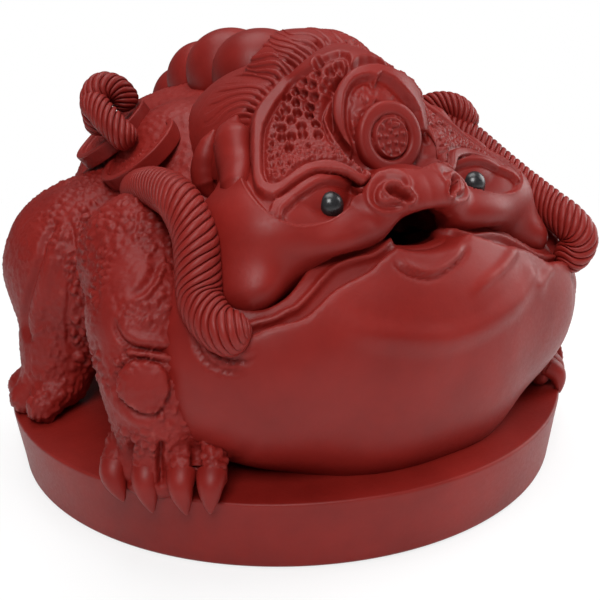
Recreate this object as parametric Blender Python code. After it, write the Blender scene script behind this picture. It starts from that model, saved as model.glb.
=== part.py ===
"""Money frog: a hollow red-clay figurine of a seated toad on a round base, with two black bead pupils.

Metres, +Z up. The origin is the middle of the base's underside. The toad faces -Y, so +X is its own left side.
Sizes below are in millimetres, turned to metres where they are used. The clay is built as a modeller works it:
lumps are pressed together and smoothed, folds are drawn into the surface, the crisp parts (shields, ring, scutes,
coins, cords, claws) are luted on, the whole is set on its base, and the inside is emptied through the mouth.
"""
import math

import bmesh
import bpy
import numpy as np
from mathutils import Euler, Matrix, Vector
from mathutils.bvhtree import BVHTree
from mathutils.kdtree import KDTree

MM = 0.001

# The base, a plain round slab, a little wider at the top
BASE_RADIUS = 60.0
BASE_TOP_RADIUS = 61.7
BASE_HEIGHT = 13.7
BASE_EDGE = 0.7
BASE_STEPS = 80

# The toad is drawn for a base top of this radius, with heights from the base's top, and is scaled to the base
DRAWN_RADIUS = 61.7
TOAD_SCALE = BASE_TOP_RADIUS / DRAWN_RADIUS

# How finely the clay is worked
SOFT_GRAIN = 1.5
SOFT_PASSES = 8
CLAY_GRAIN = 0.8
CLAY_PASSES = 3
CRISP_GRAIN = 0.6
CRISP_PASSES = 1
TOAD_FACETS = 10300
HOLLOW_GRAIN = 3.0
HOLLOW_PASSES = 3
HOLLOW_FACETS = 500

# The mouth: an arch over a shallow sag, cut straight back into the hollow
MOUTH_WIDTH = 15.2
MOUTH_ARCH = 4.6
MOUTH_SAG = 1.6
MOUTH_HEIGHT = 40.3
MOUTH_FRONT = -60.0
MOUTH_BACK = -22.0
MOUTH_STEPS = 7

# The inside: middle, half sizes, squareness
HOLLOWS = (
    ((0.0, -15.0, 22.8), (36.0, 30.0, 16.0), 2.4),
    ((0.0, 15.0, 29.8), (34.0, 33.0, 23.5), 2.2),
    ((0.0, -13.5, 45.3), (15.5, 19.0, 15.5), 2.2),
    ((0.0, -30.5, 39.8), (10.5, 13.6, 6.0), 2.2),
)

# The pupils, black beads pressed into the eyes
PUPIL_RADIUS = 2.4
PUPIL_PLACE = (16.5, -41.3, 46.9)
PUPIL_GAP = 0.3
BEAD_ROUNDNESS = 3

# Coins: a raised rim round a sunken field
COIN_RADIUS = 9.3
COIN_THICKNESS = 3.3
COIN_RIM = 1.6
COIN_SINK = 0.8
COIN_EDGE = 0.4
COIN_STEPS = 28

# Cords, modelled in the clay
CORD_SIDES = 10
CORD_END = 0.72

# The ring on the forehead: a band round a low boss
RING_PLACE = (0.0, -35.6, 56.6)
RING_TILT = 12.0
RING_HALF_WIDTH = 7.1
RING_HALF_HEIGHT = 5.9
RING_BAND = 1.4
RING_DEPTH = 1.9
RING_STEPS = 32
RING_SECTION = 8
BOSS_RADIUS = 4.3
BOSS_DEPTH = 1.9

# The brow shields: plates that lean back from the eyes and meet over the ring. The outline lies in the plate's
# plane, from its middle: towards the nose, then up the slope
SHIELD_PLACE = (19.0, -30.4, 57.1)
SHIELD_FACING = (0.346, -0.496, 0.798)
SHIELD_OUTLINE = (
    (11.8, 24.8), (7.9, 23.5), (4.5, 20.1), (1.3, 16.3), (-1.8, 12.3), (-4.2, 7.8), (-5.3, 3.3), (-5.2, -1.4),
    (-4.8, -7.4), (-3.7, -12.6), (-1.0, -14.3), (2.0, -11.8), (4.7, -9.4), (8.6, -8.4), (11.9, -9.6), (13.7, -11.0),
    (14.2, -6.7), (11.1, -3.1), (8.9, 1.6), (8.4, 7.4), (9.4, 13.4), (12.1, 17.5),
)
SHIELD_DEPTH = 8.0
SHIELD_RIM_RADIUS = 1.3

# Big soft lumps: name, middle, half sizes, turn in degrees, squareness (2 is an egg)
BODY = (
    ("trunk", (0.0, 12.0, 25.7), (41.5, 41.5, 38.0), (0, 0, 0), 2.1),
    ("rump", (0.0, 33.0, 24.7), (35.5, 26.5, 36.5), (0, 0, 0), 2.2),
    ("hip", (20.0, 8.0, 47.3), (13.5, 14.5, 13.5), (0, 0, 0), 2.0),
    ("haunch", (37.0, 14.0, 26.8), (22.0, 21.5, 19.5), (0, 0, 0), 2.1),
    ("sack", (0.0, -17.0, 15.8), (47.5, 41.5, 28.8), (0, 0, 0), 2.6),
    ("sack corner", (28.5, -34.5, 20.8), (19.0, 18.5, 18.0), (0, 0, 0), 2.0),
    ("chin", (0.0, -33.5, 30.8), (26.5, 15.5, 12.5), (0, 0, 0), 2.0),
    ("skull", (0.0, -8.0, 47.3), (25.5, 24.5, 22.0), (0, 0, 0), 2.4),
    ("shoulder", (38.5, -12.5, 33.3), (12.5, 14.5, 14.0), (0, 0, 0), 2.0),
)
FACE = (
    ("nose bridge", (0.0, -28.5, 47.8), (9.5, 9.5, 6.0), (0, 0, 0), 2.0),
    ("forehead", (0.0, -21.8, 52.8), (13.5, 15.2, 17.6), (0, 0, 0), 2.4),
    ("crest", (0.0, -13.0, 51.3), (25.0, 10.0, 22.4), (0, 0, 0), 2.0),
    ("brow", (17.0, -29.0, 48.3), (11.5, 10.5, 6.0), (0, 6, 0), 2.3),
    ("eyeball", (17.4, -34.6, 46.9), (9.4, 7.6, 5.6), (0, -3, 0), 2.0),
    ("cheek", (25.0, -31.5, 40.3), (12.5, 13.0, 10.0), (0, 28, 0), 2.2),
    ("jowl", (31.5, -36.5, 35.1), (7.2, 9.5, 5.4), (0, 32, 0), 2.0),
    ("upper lip", (14.0, -36.5, 41.9), (13.5, 10.8, 4.6), (0, 6, 0), 2.1),
    ("snout", (0.0, -40.5, 45.1), (11.0, 7.2, 5.6), (0, 0, 0), 2.2),
    ("lower lip", (0.0, -39.0, 36.8), (12.5, 9.5, 4.0), (0, 0, 0), 2.0),
)

# Limbs: chains of balls, each with its middle and radius, skinned as one
BODY_LIMBS = (
    (((40.0, -15.5, 35.8), 11.2), ((44.5, -27.0, 27.3), 10.4), ((45.5, -31.0, 19.3), 9.4),
     ((45.6, -32.0, 12.3), 8.2), ((45.6, -32.5, 6.3), 8.4)),
    (((44.0, 11.5, 23.3), 12.0), ((49.5, 9.0, 13.3), 8.2), ((51.5, 8.5, 6.8), 7.6)),
)
EARS = (
    (((23.4, -20.0, 59.3), 1.8), ((24.2, -20.6, 55.3), 3.0), ((24.0, -21.2, 50.3), 3.3), ((25.2, -22.0, 45.3), 2.0)),
    (((23.5, -12.5, 56.8), 1.8), ((27.0, -13.0, 52.3), 2.8), ((27.4, -13.5, 48.3), 2.8), ((25.0, -14.0, 44.3), 1.8)),
)
TOES = (
    (((50.2, -26.0, 5.9), 3.4), ((53.0, -28.4, 3.7), 2.7)),
    (((47.4, -29.6, 6.5), 3.4), ((49.6, -34.6, 4.5), 2.7)),
    (((43.2, -33.2, 6.9), 3.4), ((45.4, -39.4, 5.1), 2.7)),
    (((39.4, -36.6, 6.9), 3.4), ((41.6, -43.2, 5.5), 2.7)),
    (((51.5, 5.5, 6.1), 4.6), ((56.6, 2.4, 3.1), 3.6)),
    (((53.5, 8.8, 6.3), 4.6), ((58.0, 8.8, 2.9), 3.6)),
    (((52.5, 12.0, 6.3), 4.6), ((56.6, 15.0, 3.1), 3.6)),
)

# Claws of the front feet: root, knuckle, tip
CLAWS = (
    ((52.4, -28.0, 4.1), (53.8, -30.2, 2.7), (53.9, -33.0, -1.7)),
    ((49.2, -33.8, 4.9), (50.8, -36.2, 3.3), (50.9, -38.2, -2.5)),
    ((45.0, -38.6, 5.5), (46.8, -41.0, 3.7), (46.9, -43.0, -1.5)),
    ((41.2, -42.4, 5.9), (43.0, -44.8, 4.3), (44.0, -46.0, -0.5)),
)
CLAW_RADII = (2.5, 2.3, 0.6)
CLAW_GRAIN = 0.35
CLAW_FACETS = 90

# Strokes drawn on the face, seen from the front as (x, z), one side: name, points, width, height
STROKE_START = -90.0
STROKES = (
    ("mouth line", ((7.4, 39.7), (10.0, 38.5), (14.0, 37.5), (19.0, 37.3), (23.0, 34.9), (26.5, 31.7),
                    (33.0, 29.9), (38.0, 27.8)), 3.4, -2.2),
    ("lip fold", ((16.0, 43.5), (20.0, 43.7), (23.4, 41.7), (26.5, 37.9), (30.5, 33.9)), 3.2, 0.9),
    ("cheek edge", ((25.5, 47.3), (29.5, 45.3), (33.5, 41.3), (37.5, 36.8)), 3.0, 0.6),
    ("upper lid", ((24.6, 45.8), (21.5, 48.3), (17.8, 49.7), (13.7, 49.3), (10.0, 47.7)), 1.8, 0.8),
    ("lower lid", ((25.0, 44.5), (22.0, 44.0), (18.0, 43.9), (14.4, 45.0), (10.6, 47.3)), 1.8, 0.7),
    ("arch", ((10.2, 54.8), (10.2, 58.7), (8.6, 62.3), (4.6, 65.3), (0.0, 66.5)), 2.8, 1.2),
    ("under the ring", ((9.0, 52.3), (6.0, 49.5), (0.0, 48.5)), 2.6, -1.2),
    ("nostril", ((8.0, 48.5), (5.6, 48.1), (3.6, 46.9)), 1.9, -1.3),
    ("nostril curl", ((9.6, 47.3), (9.6, 49.7), (7.4, 50.8), (4.8, 50.3)), 1.8, 0.8),
    ("chin fold", ((9.0, 36.7), (6.6, 33.9), (3.4, 32.2), (0.0, 31.5)), 2.6, -0.9),
)

# Things that differ on the toad's right (-X) and left (+X) side. Cords: name, radius, points
CORDS = (
    ("right cord", 3.6, ((-31.0, 6.0, 43.8), (-35.0, -3.5, 45.8), (-37.2, -13.0, 47.9), (-38.0, -21.5, 48.9),
                         (-38.6, -29.5, 47.9), (-38.8, -34.6, 43.9), (-39.2, -36.2, 38.9), (-39.6, -36.6, 33.9),
                         (-39.4, -39.6, 30.5), (-38.0, -43.4, 29.1), (-36.0, -45.8, 27.9))),
    ("left cord", 3.6, ((27.0, -2.0, 55.9), (31.6, -7.5, 56.7), (34.2, -14.0, 55.3), (35.7, -20.5, 52.2),
                        (37.2, -27.0, 48.1), (38.6, -34.0, 43.9), (39.8, -40.0, 40.5), (40.2, -44.8, 37.9),
                        (40.8, -47.6, 34.7), (39.8, -47.4, 31.3), (37.0, -45.4, 29.1))),
    ("left bow", 2.3, ((29.0, -3.0, 53.8), (31.0, -6.5, 57.3), (32.8, -10.5, 58.7), (34.4, -14.5, 57.5),
                       (35.4, -16.5, 53.9))),
    ("coin bow", 2.8, ((-34.9, 15.0, 54.3), (-35.8, 15.0, 58.6), (-36.0, 15.0, 61.7), (-35.0, 15.0, 63.6),
                       (-33.6, 15.0, 64.2), (-31.7, 15.0, 63.8), (-30.2, 15.0, 62.6), (-28.0, 15.0, 59.3))),
    ("coin strand", 3.1, ((-36.4, 16.0, 61.5), (-35.9, 13.6, 60.3), (-35.4, 12.0, 58.6), (-34.6, 9.0, 56.4),
                          (-33.6, 7.0, 54.7), (-32.4, 5.8, 53.3))),
)

# Coins: name, middle, the way the face looks
COINS = (
    ("front coin", (-30.8, 4.5, 51.9), (-0.604, 0.134, 0.786)),
    ("rear coin", (-34.6, 12.5, 56.2), (-0.604, 0.134, 0.786)),
)

# Scutes along the spine: middle, half sizes, lean in degrees
SCUTES = (
    ((0.0, 9.0, 64.9), (10.5, 9.5, 10.2), -12),
    ((0.0, 22.0, 65.1), (10.5, 9.0, 10.0), -20),
    ((0.0, 34.0, 62.7), (10.0, 8.6, 9.6), -30),
    ((0.0, 45.0, 56.9), (9.5, 8.4, 9.2), -42),
    ((0.0, 54.0, 47.3), (8.5, 8.0, 8.4), -58),
)

CLAY_COLOUR = (0.23, 0.028, 0.022, 1.0)
BEAD_COLOUR = (0.014, 0.012, 0.012, 1.0)


def length(size):
    """A length on the toad, in metres."""
    return size * TOAD_SCALE * MM


def place(point):
    """A point of the toad, in metres: it sits on the base's top."""
    x, y, z = point
    return Vector((length(x), length(y), length(z) + BASE_HEIGHT * MM))


def add_egg(clay, middle, half_sizes, turn, squareness=2.0, roundness=4):
    """Adds an egg-shaped lump; squareness over 2 fills its corners out."""
    angles = Euler([math.radians(angle) for angle in turn])
    fit = Matrix.LocRotScale(place(middle), angles, Vector([length(size) for size in half_sizes]))
    egg = bmesh.ops.create_icosphere(clay, subdivisions=roundness, radius=1.0)["verts"]
    for vertex in egg:
        reach = sum(abs(part) ** squareness for part in vertex.co) ** (1 / squareness)
        vertex.co /= reach
    bmesh.ops.transform(clay, matrix=fit, verts=egg)


def add_limb(clay, stations, roundness=3):
    """Adds a limb: each pair of neighbouring balls gets one convex skin."""
    for pair in zip(stations, stations[1:]):
        skin = bmesh.new()
        for middle, radius in pair:
            fit = Matrix.Translation(place(middle))
            bmesh.ops.create_icosphere(skin, subdivisions=roundness, radius=length(radius), matrix=fit)
        bmesh.ops.delete(skin, geom=skin.edges[:], context="EDGES_FACES")
        hull = bmesh.ops.convex_hull(skin, input=skin.verts[:])
        inner = {part for part in hull["geom_interior"] if isinstance(part, bmesh.types.BMVert)}
        bmesh.ops.delete(skin, geom=list(inner), context="VERTS")
        piece = bpy.data.meshes.new("limb")
        skin.to_mesh(piece)
        skin.free()
        clay.from_mesh(piece)
        bpy.data.meshes.remove(piece)


def add_toe(clay, stations):
    """Adds a toe and, under it, the clay that beds it on the base."""
    add_limb(clay, stations)
    add_limb(clay, [((x, y, 0.5 * radius), radius) for (x, y, _), radius in stations])
    for (x, y, z), radius in stations:
        add_limb(clay, (((x, y, z), radius), ((x, y, 0.5 * radius), radius)))


def new_helper(name, shape):
    """Turns a bmesh into an object that stays out of renders."""
    bmesh.ops.recalc_face_normals(shape, faces=shape.faces[:])
    mesh = bpy.data.meshes.new(name)
    shape.to_mesh(mesh)
    shape.free()
    helper = bpy.data.objects.new(name, mesh)
    bpy.context.scene.collection.objects.link(helper)
    helper.hide_render = True
    helper.display_type = "WIRE"
    return helper


def settle(thing):
    """Applies the object's modifiers."""
    graph = bpy.context.evaluated_depsgraph_get()
    mesh = bpy.data.meshes.new_from_object(thing.evaluated_get(graph))
    thing.modifiers.clear()
    thing.data = mesh


def press_together(thing, grain, passes):
    """Fuses overlapping lumps into one skin and smooths it."""
    remesh = thing.modifiers.new("press together", "REMESH")
    remesh.mode = "VOXEL"
    remesh.voxel_size = grain * MM
    smooth = thing.modifiers.new("smooth", "SMOOTH")
    smooth.iterations = int(passes)
    settle(thing)


def mirror_lumps(thing):
    mirror = thing.modifiers.new("other side", "MIRROR")
    mirror.use_mirror_merge = False


def model_clay():
    """The toad's mass: soft body lumps first, then the face, toes and hair on top of them."""
    soft = bmesh.new()
    for _, *egg in BODY:
        add_egg(soft, *egg)
    for stations in BODY_LIMBS:
        add_limb(soft, stations)
    toad = new_helper("toad", soft)
    mirror_lumps(toad)
    press_together(toad, SOFT_GRAIN, SOFT_PASSES)

    clay = bmesh.new()
    for _, *egg in FACE:
        add_egg(clay, *egg)
    for stations in EARS:
        add_limb(clay, stations)
    for stations in TOES:
        add_toe(clay, stations)
    face = new_helper("face lumps", clay)
    mirror_lumps(face)
    settle(face)
    clay = bmesh.new()
    clay.from_mesh(toad.data)
    clay.from_mesh(face.data)
    bpy.data.objects.remove(face)
    bpy.data.objects.remove(toad)
    toad = new_helper("toad", clay)
    press_together(toad, CLAY_GRAIN, CLAY_PASSES)
    return toad


def smooth_line(points, steps=6):
    """A Catmull-Rom curve through the points, as closer points."""
    knots = [Vector(point) for point in points]
    knots = [2 * knots[0] - knots[1], *knots, 2 * knots[-1] - knots[-2]]
    line = []
    for a, b, c, d in zip(knots, knots[1:], knots[2:], knots[3:]):
        bend = 2 * a - 5 * b + 4 * c - d
        twist = 3 * b - a - 3 * c + d
        for step in range(steps):
            t = step / steps
            line.append(0.5 * (2 * b + (c - a) * t + bend * t ** 2 + twist * t ** 3))
    line.append(knots[-2])
    return line


def lute_on(toad, additions):
    """Presses the crisp parts onto the toad and fuses them with it."""
    clay = bmesh.new()
    clay.from_mesh(toad.data)
    for addition in additions:
        clay.from_mesh(addition.data)
        bpy.data.objects.remove(addition)
    clay.to_mesh(toad.data)
    clay.free()
    press_together(toad, CRISP_GRAIN, CRISP_PASSES)


def draw_strokes(toad):
    """Draws each stroke on the face, on both sides, by moving the skin along its normal."""
    mesh = toad.data
    count = len(mesh.vertices)
    places = np.empty(count * 3)
    normals = np.empty(count * 3)
    mesh.vertices.foreach_get("co", places)
    mesh.vertices.foreach_get("normal", normals)
    places = places.reshape(-1, 3)
    normals = normals.reshape(-1, 3)
    skin = BVHTree.FromPolygons(places.tolist(), [tuple(face.vertices) for face in mesh.polygons])
    tree = KDTree(count)
    for index, spot in enumerate(places):
        tree.insert(spot, index)
    tree.balance()
    moved = np.zeros(count)
    for _, points, width, height in STROKES:
        for side in (1, -1):
            pressed = {}
            for x, z in smooth_line(points, steps=8):
                start = place((side * x, STROKE_START, z))
                hit = skin.ray_cast(start, Vector((0, 1, 0)))[0]
                if hit is None:
                    continue
                for _, index, distance in tree.find_range(hit, 0.5 * length(width)):
                    share = 0.5 + 0.5 * math.cos(2 * math.pi * distance / length(width))
                    pressed[index] = max(share, pressed.get(index, 0.0))
            for index, share in pressed.items():
                moved[index] += length(height) * share
    places += normals * moved[:, None]
    mesh.vertices.foreach_set("co", places.ravel())
    mesh.update()


def thin_out(toad, facets):
    """Keeps about this many facets, most of them where the skin bends."""
    thin = toad.modifiers.new("thin out", "DECIMATE")
    toad.data.calc_loop_triangles()
    thin.ratio = facets / len(toad.data.loop_triangles)
    thin.use_symmetry = False
    settle(toad)


def turned(name, outline, steps, fit=None):
    """A solid of revolution about Z from its (radius, height) outline in metres, top to bottom."""
    shape = bmesh.new()
    points = [shape.verts.new((radius, 0.0, height)) for radius, height in outline]
    edges = [shape.edges.new(pair) for pair in zip(points, points[1:])]
    bmesh.ops.spin(
        shape, geom=points + edges, cent=(0, 0, 0), axis=(0, 0, 1), angle=math.tau, steps=int(steps), use_merge=True
    )
    bmesh.ops.remove_doubles(shape, verts=shape.verts[:], dist=1e-6)
    if fit is not None:
        bmesh.ops.transform(shape, matrix=fit, verts=shape.verts[:])
    return new_helper(name, shape)


def base_slab():
    edge = BASE_EDGE
    outline = (
        (0.0, BASE_HEIGHT), (BASE_TOP_RADIUS - edge, BASE_HEIGHT), (BASE_TOP_RADIUS, BASE_HEIGHT - edge),
        (BASE_RADIUS, edge), (BASE_RADIUS - edge, 0.0), (0.0, 0.0),
    )
    return turned("base", [(radius * MM, height * MM) for radius, height in outline], BASE_STEPS)


def coin(name, middle, normal):
    top = 0.5 * COIN_THICKNESS
    field = COIN_RADIUS - COIN_RIM
    outline = (
        (0.0, top - COIN_SINK), (field - COIN_EDGE, top - COIN_SINK), (field, top), (COIN_RADIUS - COIN_EDGE, top),
        (COIN_RADIUS, top - COIN_EDGE), (COIN_RADIUS, -top), (0.0, -top),
    )
    turn = Vector(normal).to_track_quat("Z", "Y").to_matrix().to_4x4()
    fit = Matrix.Translation(place(middle)) @ turn
    return turned(name, [(length(radius), length(height)) for radius, height in outline], COIN_STEPS, fit)


def cord(name, radius, points):
    """A cord: a round section swept along a smooth line, with narrowed ends."""
    curve = bpy.data.curves.new(name, "CURVE")
    curve.dimensions = "3D"
    curve.bevel_depth = length(radius)
    curve.bevel_resolution = int(CORD_SIDES) // 2 - 2
    curve.use_fill_caps = True
    line = smooth_line([place(point) for point in points], steps=3)
    spline = curve.splines.new("POLY")
    spline.points.add(len(line) - 1)
    for knot, point in zip(spline.points, line):
        knot.co = (*point, 1.0)
    last = len(line) - 1
    spline.points[0].radius = CORD_END
    spline.points[last].radius = CORD_END
    thing = bpy.data.objects.new(name, curve)
    bpy.context.scene.collection.objects.link(thing)
    graph = bpy.context.evaluated_depsgraph_get()
    mesh = bpy.data.meshes.new_from_object(thing.evaluated_get(graph))
    bpy.data.objects.remove(thing)
    shape = bmesh.new()
    shape.from_mesh(mesh)
    bmesh.ops.remove_doubles(shape, verts=shape.verts[:], dist=1e-6)
    return new_helper(name, shape)


def brow_shield(side):
    """A plate cut to the shield's outline, with a rounded rim along its front edge."""
    facing = Vector(SHIELD_FACING).normalized()
    inwards = facing.cross(Vector((0, 0, 1))).normalized()
    up = inwards.cross(facing).normalized()
    middle = Vector(SHIELD_PLACE)
    shape = bmesh.new()
    edge = []
    for along, rise in SHIELD_OUTLINE:
        corner = middle + along * inwards + rise * up
        corner.x *= side
        edge.append(corner)
    facing.x *= side
    back = [shape.verts.new(place(corner - SHIELD_DEPTH * facing)) for corner in edge]
    front = [shape.verts.new(place(corner)) for corner in edge]
    shape.faces.new(back)
    shape.faces.new(front)
    for number in range(len(edge)):
        shape.faces.new((back[number - 1], back[number], front[number], front[number - 1]))
    bmesh.ops.recalc_face_normals(shape, faces=shape.faces[:])
    bmesh.ops.triangulate(shape, faces=shape.faces[:])
    for number in range(len(edge)):
        rim = ((edge[number - 1], SHIELD_RIM_RADIUS), (edge[number], SHIELD_RIM_RADIUS))
        add_limb(shape, rim, roundness=2)
    return new_helper(f"brow shield {side}", shape)


def forehead_ring():
    """The flat oval band round the boss."""
    shape = bmesh.new()
    steps, section = int(RING_STEPS), int(RING_SECTION)
    for step in range(steps):
        angle = math.tau * step / steps
        for corner in range(section):
            lift = math.tau * corner / section
            across = 1 + RING_BAND * math.cos(lift) / RING_HALF_WIDTH
            x = RING_HALF_WIDTH * across * math.cos(angle)
            z = RING_HALF_HEIGHT * across * math.sin(angle)
            shape.verts.new((length(x), length(RING_DEPTH * math.sin(lift)), length(z)))
    shape.verts.ensure_lookup_table()
    for step in range(steps):
        for corner in range(section):
            here = step * section
            there = (step + 1) % steps * section
            after = (corner + 1) % section
            ring = (here + corner, here + after, there + after, there + corner)
            shape.faces.new([shape.verts[index] for index in ring])
    tilt = Matrix.Rotation(math.radians(-RING_TILT), 4, "X")
    bmesh.ops.transform(shape, matrix=Matrix.Translation(place(RING_PLACE)) @ tilt, verts=shape.verts[:])
    return new_helper("forehead ring", shape)


def forehead_boss():
    shape = bmesh.new()
    add_egg(shape, RING_PLACE, (BOSS_RADIUS, BOSS_DEPTH, BOSS_RADIUS), (-RING_TILT, 0, 0), 2.6, roundness=3)
    return new_helper("forehead boss", shape)


def scute(number, middle, half_sizes, lean):
    shape = bmesh.new()
    add_egg(shape, middle, half_sizes, (lean, 0, 0), 2.3, roundness=3)
    return new_helper(f"scute {number + 1}", shape)


def claw(number, side, stations):
    shape = bmesh.new()
    mirrored = [((side * x, y, z), radius) for (x, y, z), radius in zip(stations, CLAW_RADII)]
    add_limb(shape, mirrored, roundness=2)
    helper = new_helper(f"claw {number} {side}", shape)
    press_together(helper, CLAW_GRAIN, 1)
    thin_out(helper, CLAW_FACETS)
    return helper


def mouth_cutter():
    """A bar with the mouth's outline: an arch above, a shallow sag below."""
    shape = bmesh.new()
    half = 0.5 * MOUTH_WIDTH
    steps = int(MOUTH_STEPS)
    outline = []
    for step in range(steps):
        angle = math.pi * step / steps
        outline.append((half * math.cos(angle), MOUTH_ARCH * math.sin(angle)))
    for step in range(steps):
        angle = math.pi * (1 + step / steps)
        outline.append((half * math.cos(angle), MOUTH_SAG * math.sin(angle)))
    front = [shape.verts.new(place((x, MOUTH_FRONT, MOUTH_HEIGHT + z))) for x, z in outline]
    face = shape.faces.new(front)
    bar = bmesh.ops.extrude_face_region(shape, geom=[face])["geom"]
    back = [part for part in bar if isinstance(part, bmesh.types.BMVert)]
    bmesh.ops.translate(shape, vec=(0, length(MOUTH_BACK - MOUTH_FRONT), 0), verts=back)
    return new_helper("mouth cutter", shape)


def hollow_cutter():
    """The inside, a few lumps fused and thinned: the wall left round it is 6 to 12 mm."""
    shape = bmesh.new()
    for middle, half_sizes, squareness in HOLLOWS:
        add_egg(shape, middle, half_sizes, (0, 0, 0), squareness)
    helper = new_helper("hollow cutter", shape)
    press_together(helper, HOLLOW_GRAIN, int(HOLLOW_PASSES))
    thin_out(helper, HOLLOW_FACETS)
    return helper


def bead(name, side, radius):
    shape = bmesh.new()
    x, y, z = PUPIL_PLACE
    fit = Matrix.Translation(place((side * x, y, z)))
    bmesh.ops.create_icosphere(shape, subdivisions=int(BEAD_ROUNDNESS), radius=length(radius), matrix=fit)
    return new_helper(name, shape)


def combine(thing, other, operation):
    """Unites or cuts, then drops the helper."""
    change = thing.modifiers.new(other.name, "BOOLEAN")
    change.operation = operation
    change.object = other
    change.solver = "EXACT"
    settle(thing)
    bpy.data.objects.remove(other)


def finish(thing, name, material):
    thing.name = name
    thing.data.name = name
    thing.data.materials.clear()
    thing.data.materials.append(material)
    thing.data.shade_smooth()
    thing.data.set_sharp_from_angle(angle=math.radians(40))
    thing.hide_render = False
    thing.display_type = "TEXTURED"


def new_material(name, colour, roughness):
    material = bpy.data.materials.new(name)
    material.use_nodes = True
    shader = material.node_tree.nodes["Principled BSDF"]
    shader.inputs["Base Color"].default_value = colour
    shader.inputs["Roughness"].default_value = roughness
    shader.inputs["Metallic"].default_value = 0.0
    return material


def main():
    for thing in list(bpy.data.objects):
        bpy.data.objects.remove(thing)

    toad = model_clay()
    draw_strokes(toad)
    additions = [forehead_ring(), forehead_boss(), brow_shield(1), brow_shield(-1)]
    additions += [scute(number, *shape) for number, shape in enumerate(SCUTES)]
    additions += [coin(*place) for place in COINS]
    additions += [cord(*route) for route in CORDS]
    for side in (1, -1):
        additions += [claw(number, side, stations) for number, stations in enumerate(CLAWS)]
    lute_on(toad, additions)
    thin_out(toad, TOAD_FACETS)
    combine(toad, base_slab(), "UNION")
    combine(toad, hollow_cutter(), "DIFFERENCE")
    combine(toad, mouth_cutter(), "DIFFERENCE")

    beads = []
    for name, side in (("pupil_left", 1), ("pupil_right", -1)):
        combine(toad, bead("socket cutter", side, PUPIL_RADIUS + PUPIL_GAP), "DIFFERENCE")
        beads.append((bead(name, side, PUPIL_RADIUS), name))
    finish(toad, "toad_body", new_material("red_stoneware", CLAY_COLOUR, 0.45))
    black = new_material("black_clay", BEAD_COLOUR, 0.35)
    for pupil, name in beads:
        finish(pupil, name, black)


main()
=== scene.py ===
"""Looks of the money frog: unglazed red stoneware, burnished on belly and face, pebbled on legs and back.

The toad faces -Y and its own left is +X. Shapes are worked out in millimetres and turned to metres at the end.
Soft forms are grids of distances to the clay's skin, into which lumps are pressed one after the other. Folds,
rims, pits and pads are then drawn on the finished skin by moving it along its normals.
"""
import math
from collections import namedtuple

import bpy
import numpy as np
from mathutils import Euler, Matrix, Vector


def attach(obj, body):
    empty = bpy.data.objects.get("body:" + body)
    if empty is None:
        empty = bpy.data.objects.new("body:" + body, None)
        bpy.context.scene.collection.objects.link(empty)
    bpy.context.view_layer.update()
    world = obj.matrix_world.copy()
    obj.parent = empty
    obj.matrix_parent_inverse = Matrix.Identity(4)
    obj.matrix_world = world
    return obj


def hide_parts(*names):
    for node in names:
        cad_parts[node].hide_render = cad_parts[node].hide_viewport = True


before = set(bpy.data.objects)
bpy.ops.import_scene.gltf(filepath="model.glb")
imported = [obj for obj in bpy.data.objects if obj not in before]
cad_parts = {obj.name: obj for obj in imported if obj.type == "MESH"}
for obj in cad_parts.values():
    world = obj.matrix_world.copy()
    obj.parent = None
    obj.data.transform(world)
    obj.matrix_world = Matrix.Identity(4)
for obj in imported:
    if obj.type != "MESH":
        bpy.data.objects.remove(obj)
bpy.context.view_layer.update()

MM = 0.001

# The base
BASE_RADIUS = 60.0
BASE_TOP_RADIUS = 61.7
BASE_HEIGHT = 13.7

# The photograph's camera: place, axes and lens
CAMERA_PLACE = (-97.535, -157.92, 90.905)
CAMERA_RIGHT = (0.83924, -0.54363, -0.01176)
CAMERA_UP = (0.18081, 0.2586, 0.94891)
CAMERA_LOOK = (0.51282, 0.79849, -0.31532)
CAMERA_LENS = 51.0
PX = 5.6  # pixels of the photograph to a millimetre at the face
PHOTO_MIDDLE = 300
SENSOR_WIDTH = 36.0
CAMERA_REACH = CAMERA_LENS / SENSOR_WIDTH * 2 * PHOTO_MIDDLE

# Width of one cell of the clay grids
COARSE = 1.0
SHIELD_GRAIN = 0.3 * COARSE
FACE_GRAIN = 0.36 * COARSE
LEG_GRAIN = 0.47 * COARSE
LIP_GRAIN = 0.6 * COARSE
BACK_GRAIN = 0.7 * COARSE
FAR_GRAIN = 0.72 * COARSE
BELLY_GRAIN = 0.78 * COARSE
RUMP_GRAIN = 1.1 * COARSE
FAR = 40.0  # distance, in mm, that an empty grid starts with
BURIED = 0.8  # faces of a block's cut sides that lie this deep in the clay are left out, as nothing shows them

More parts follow.
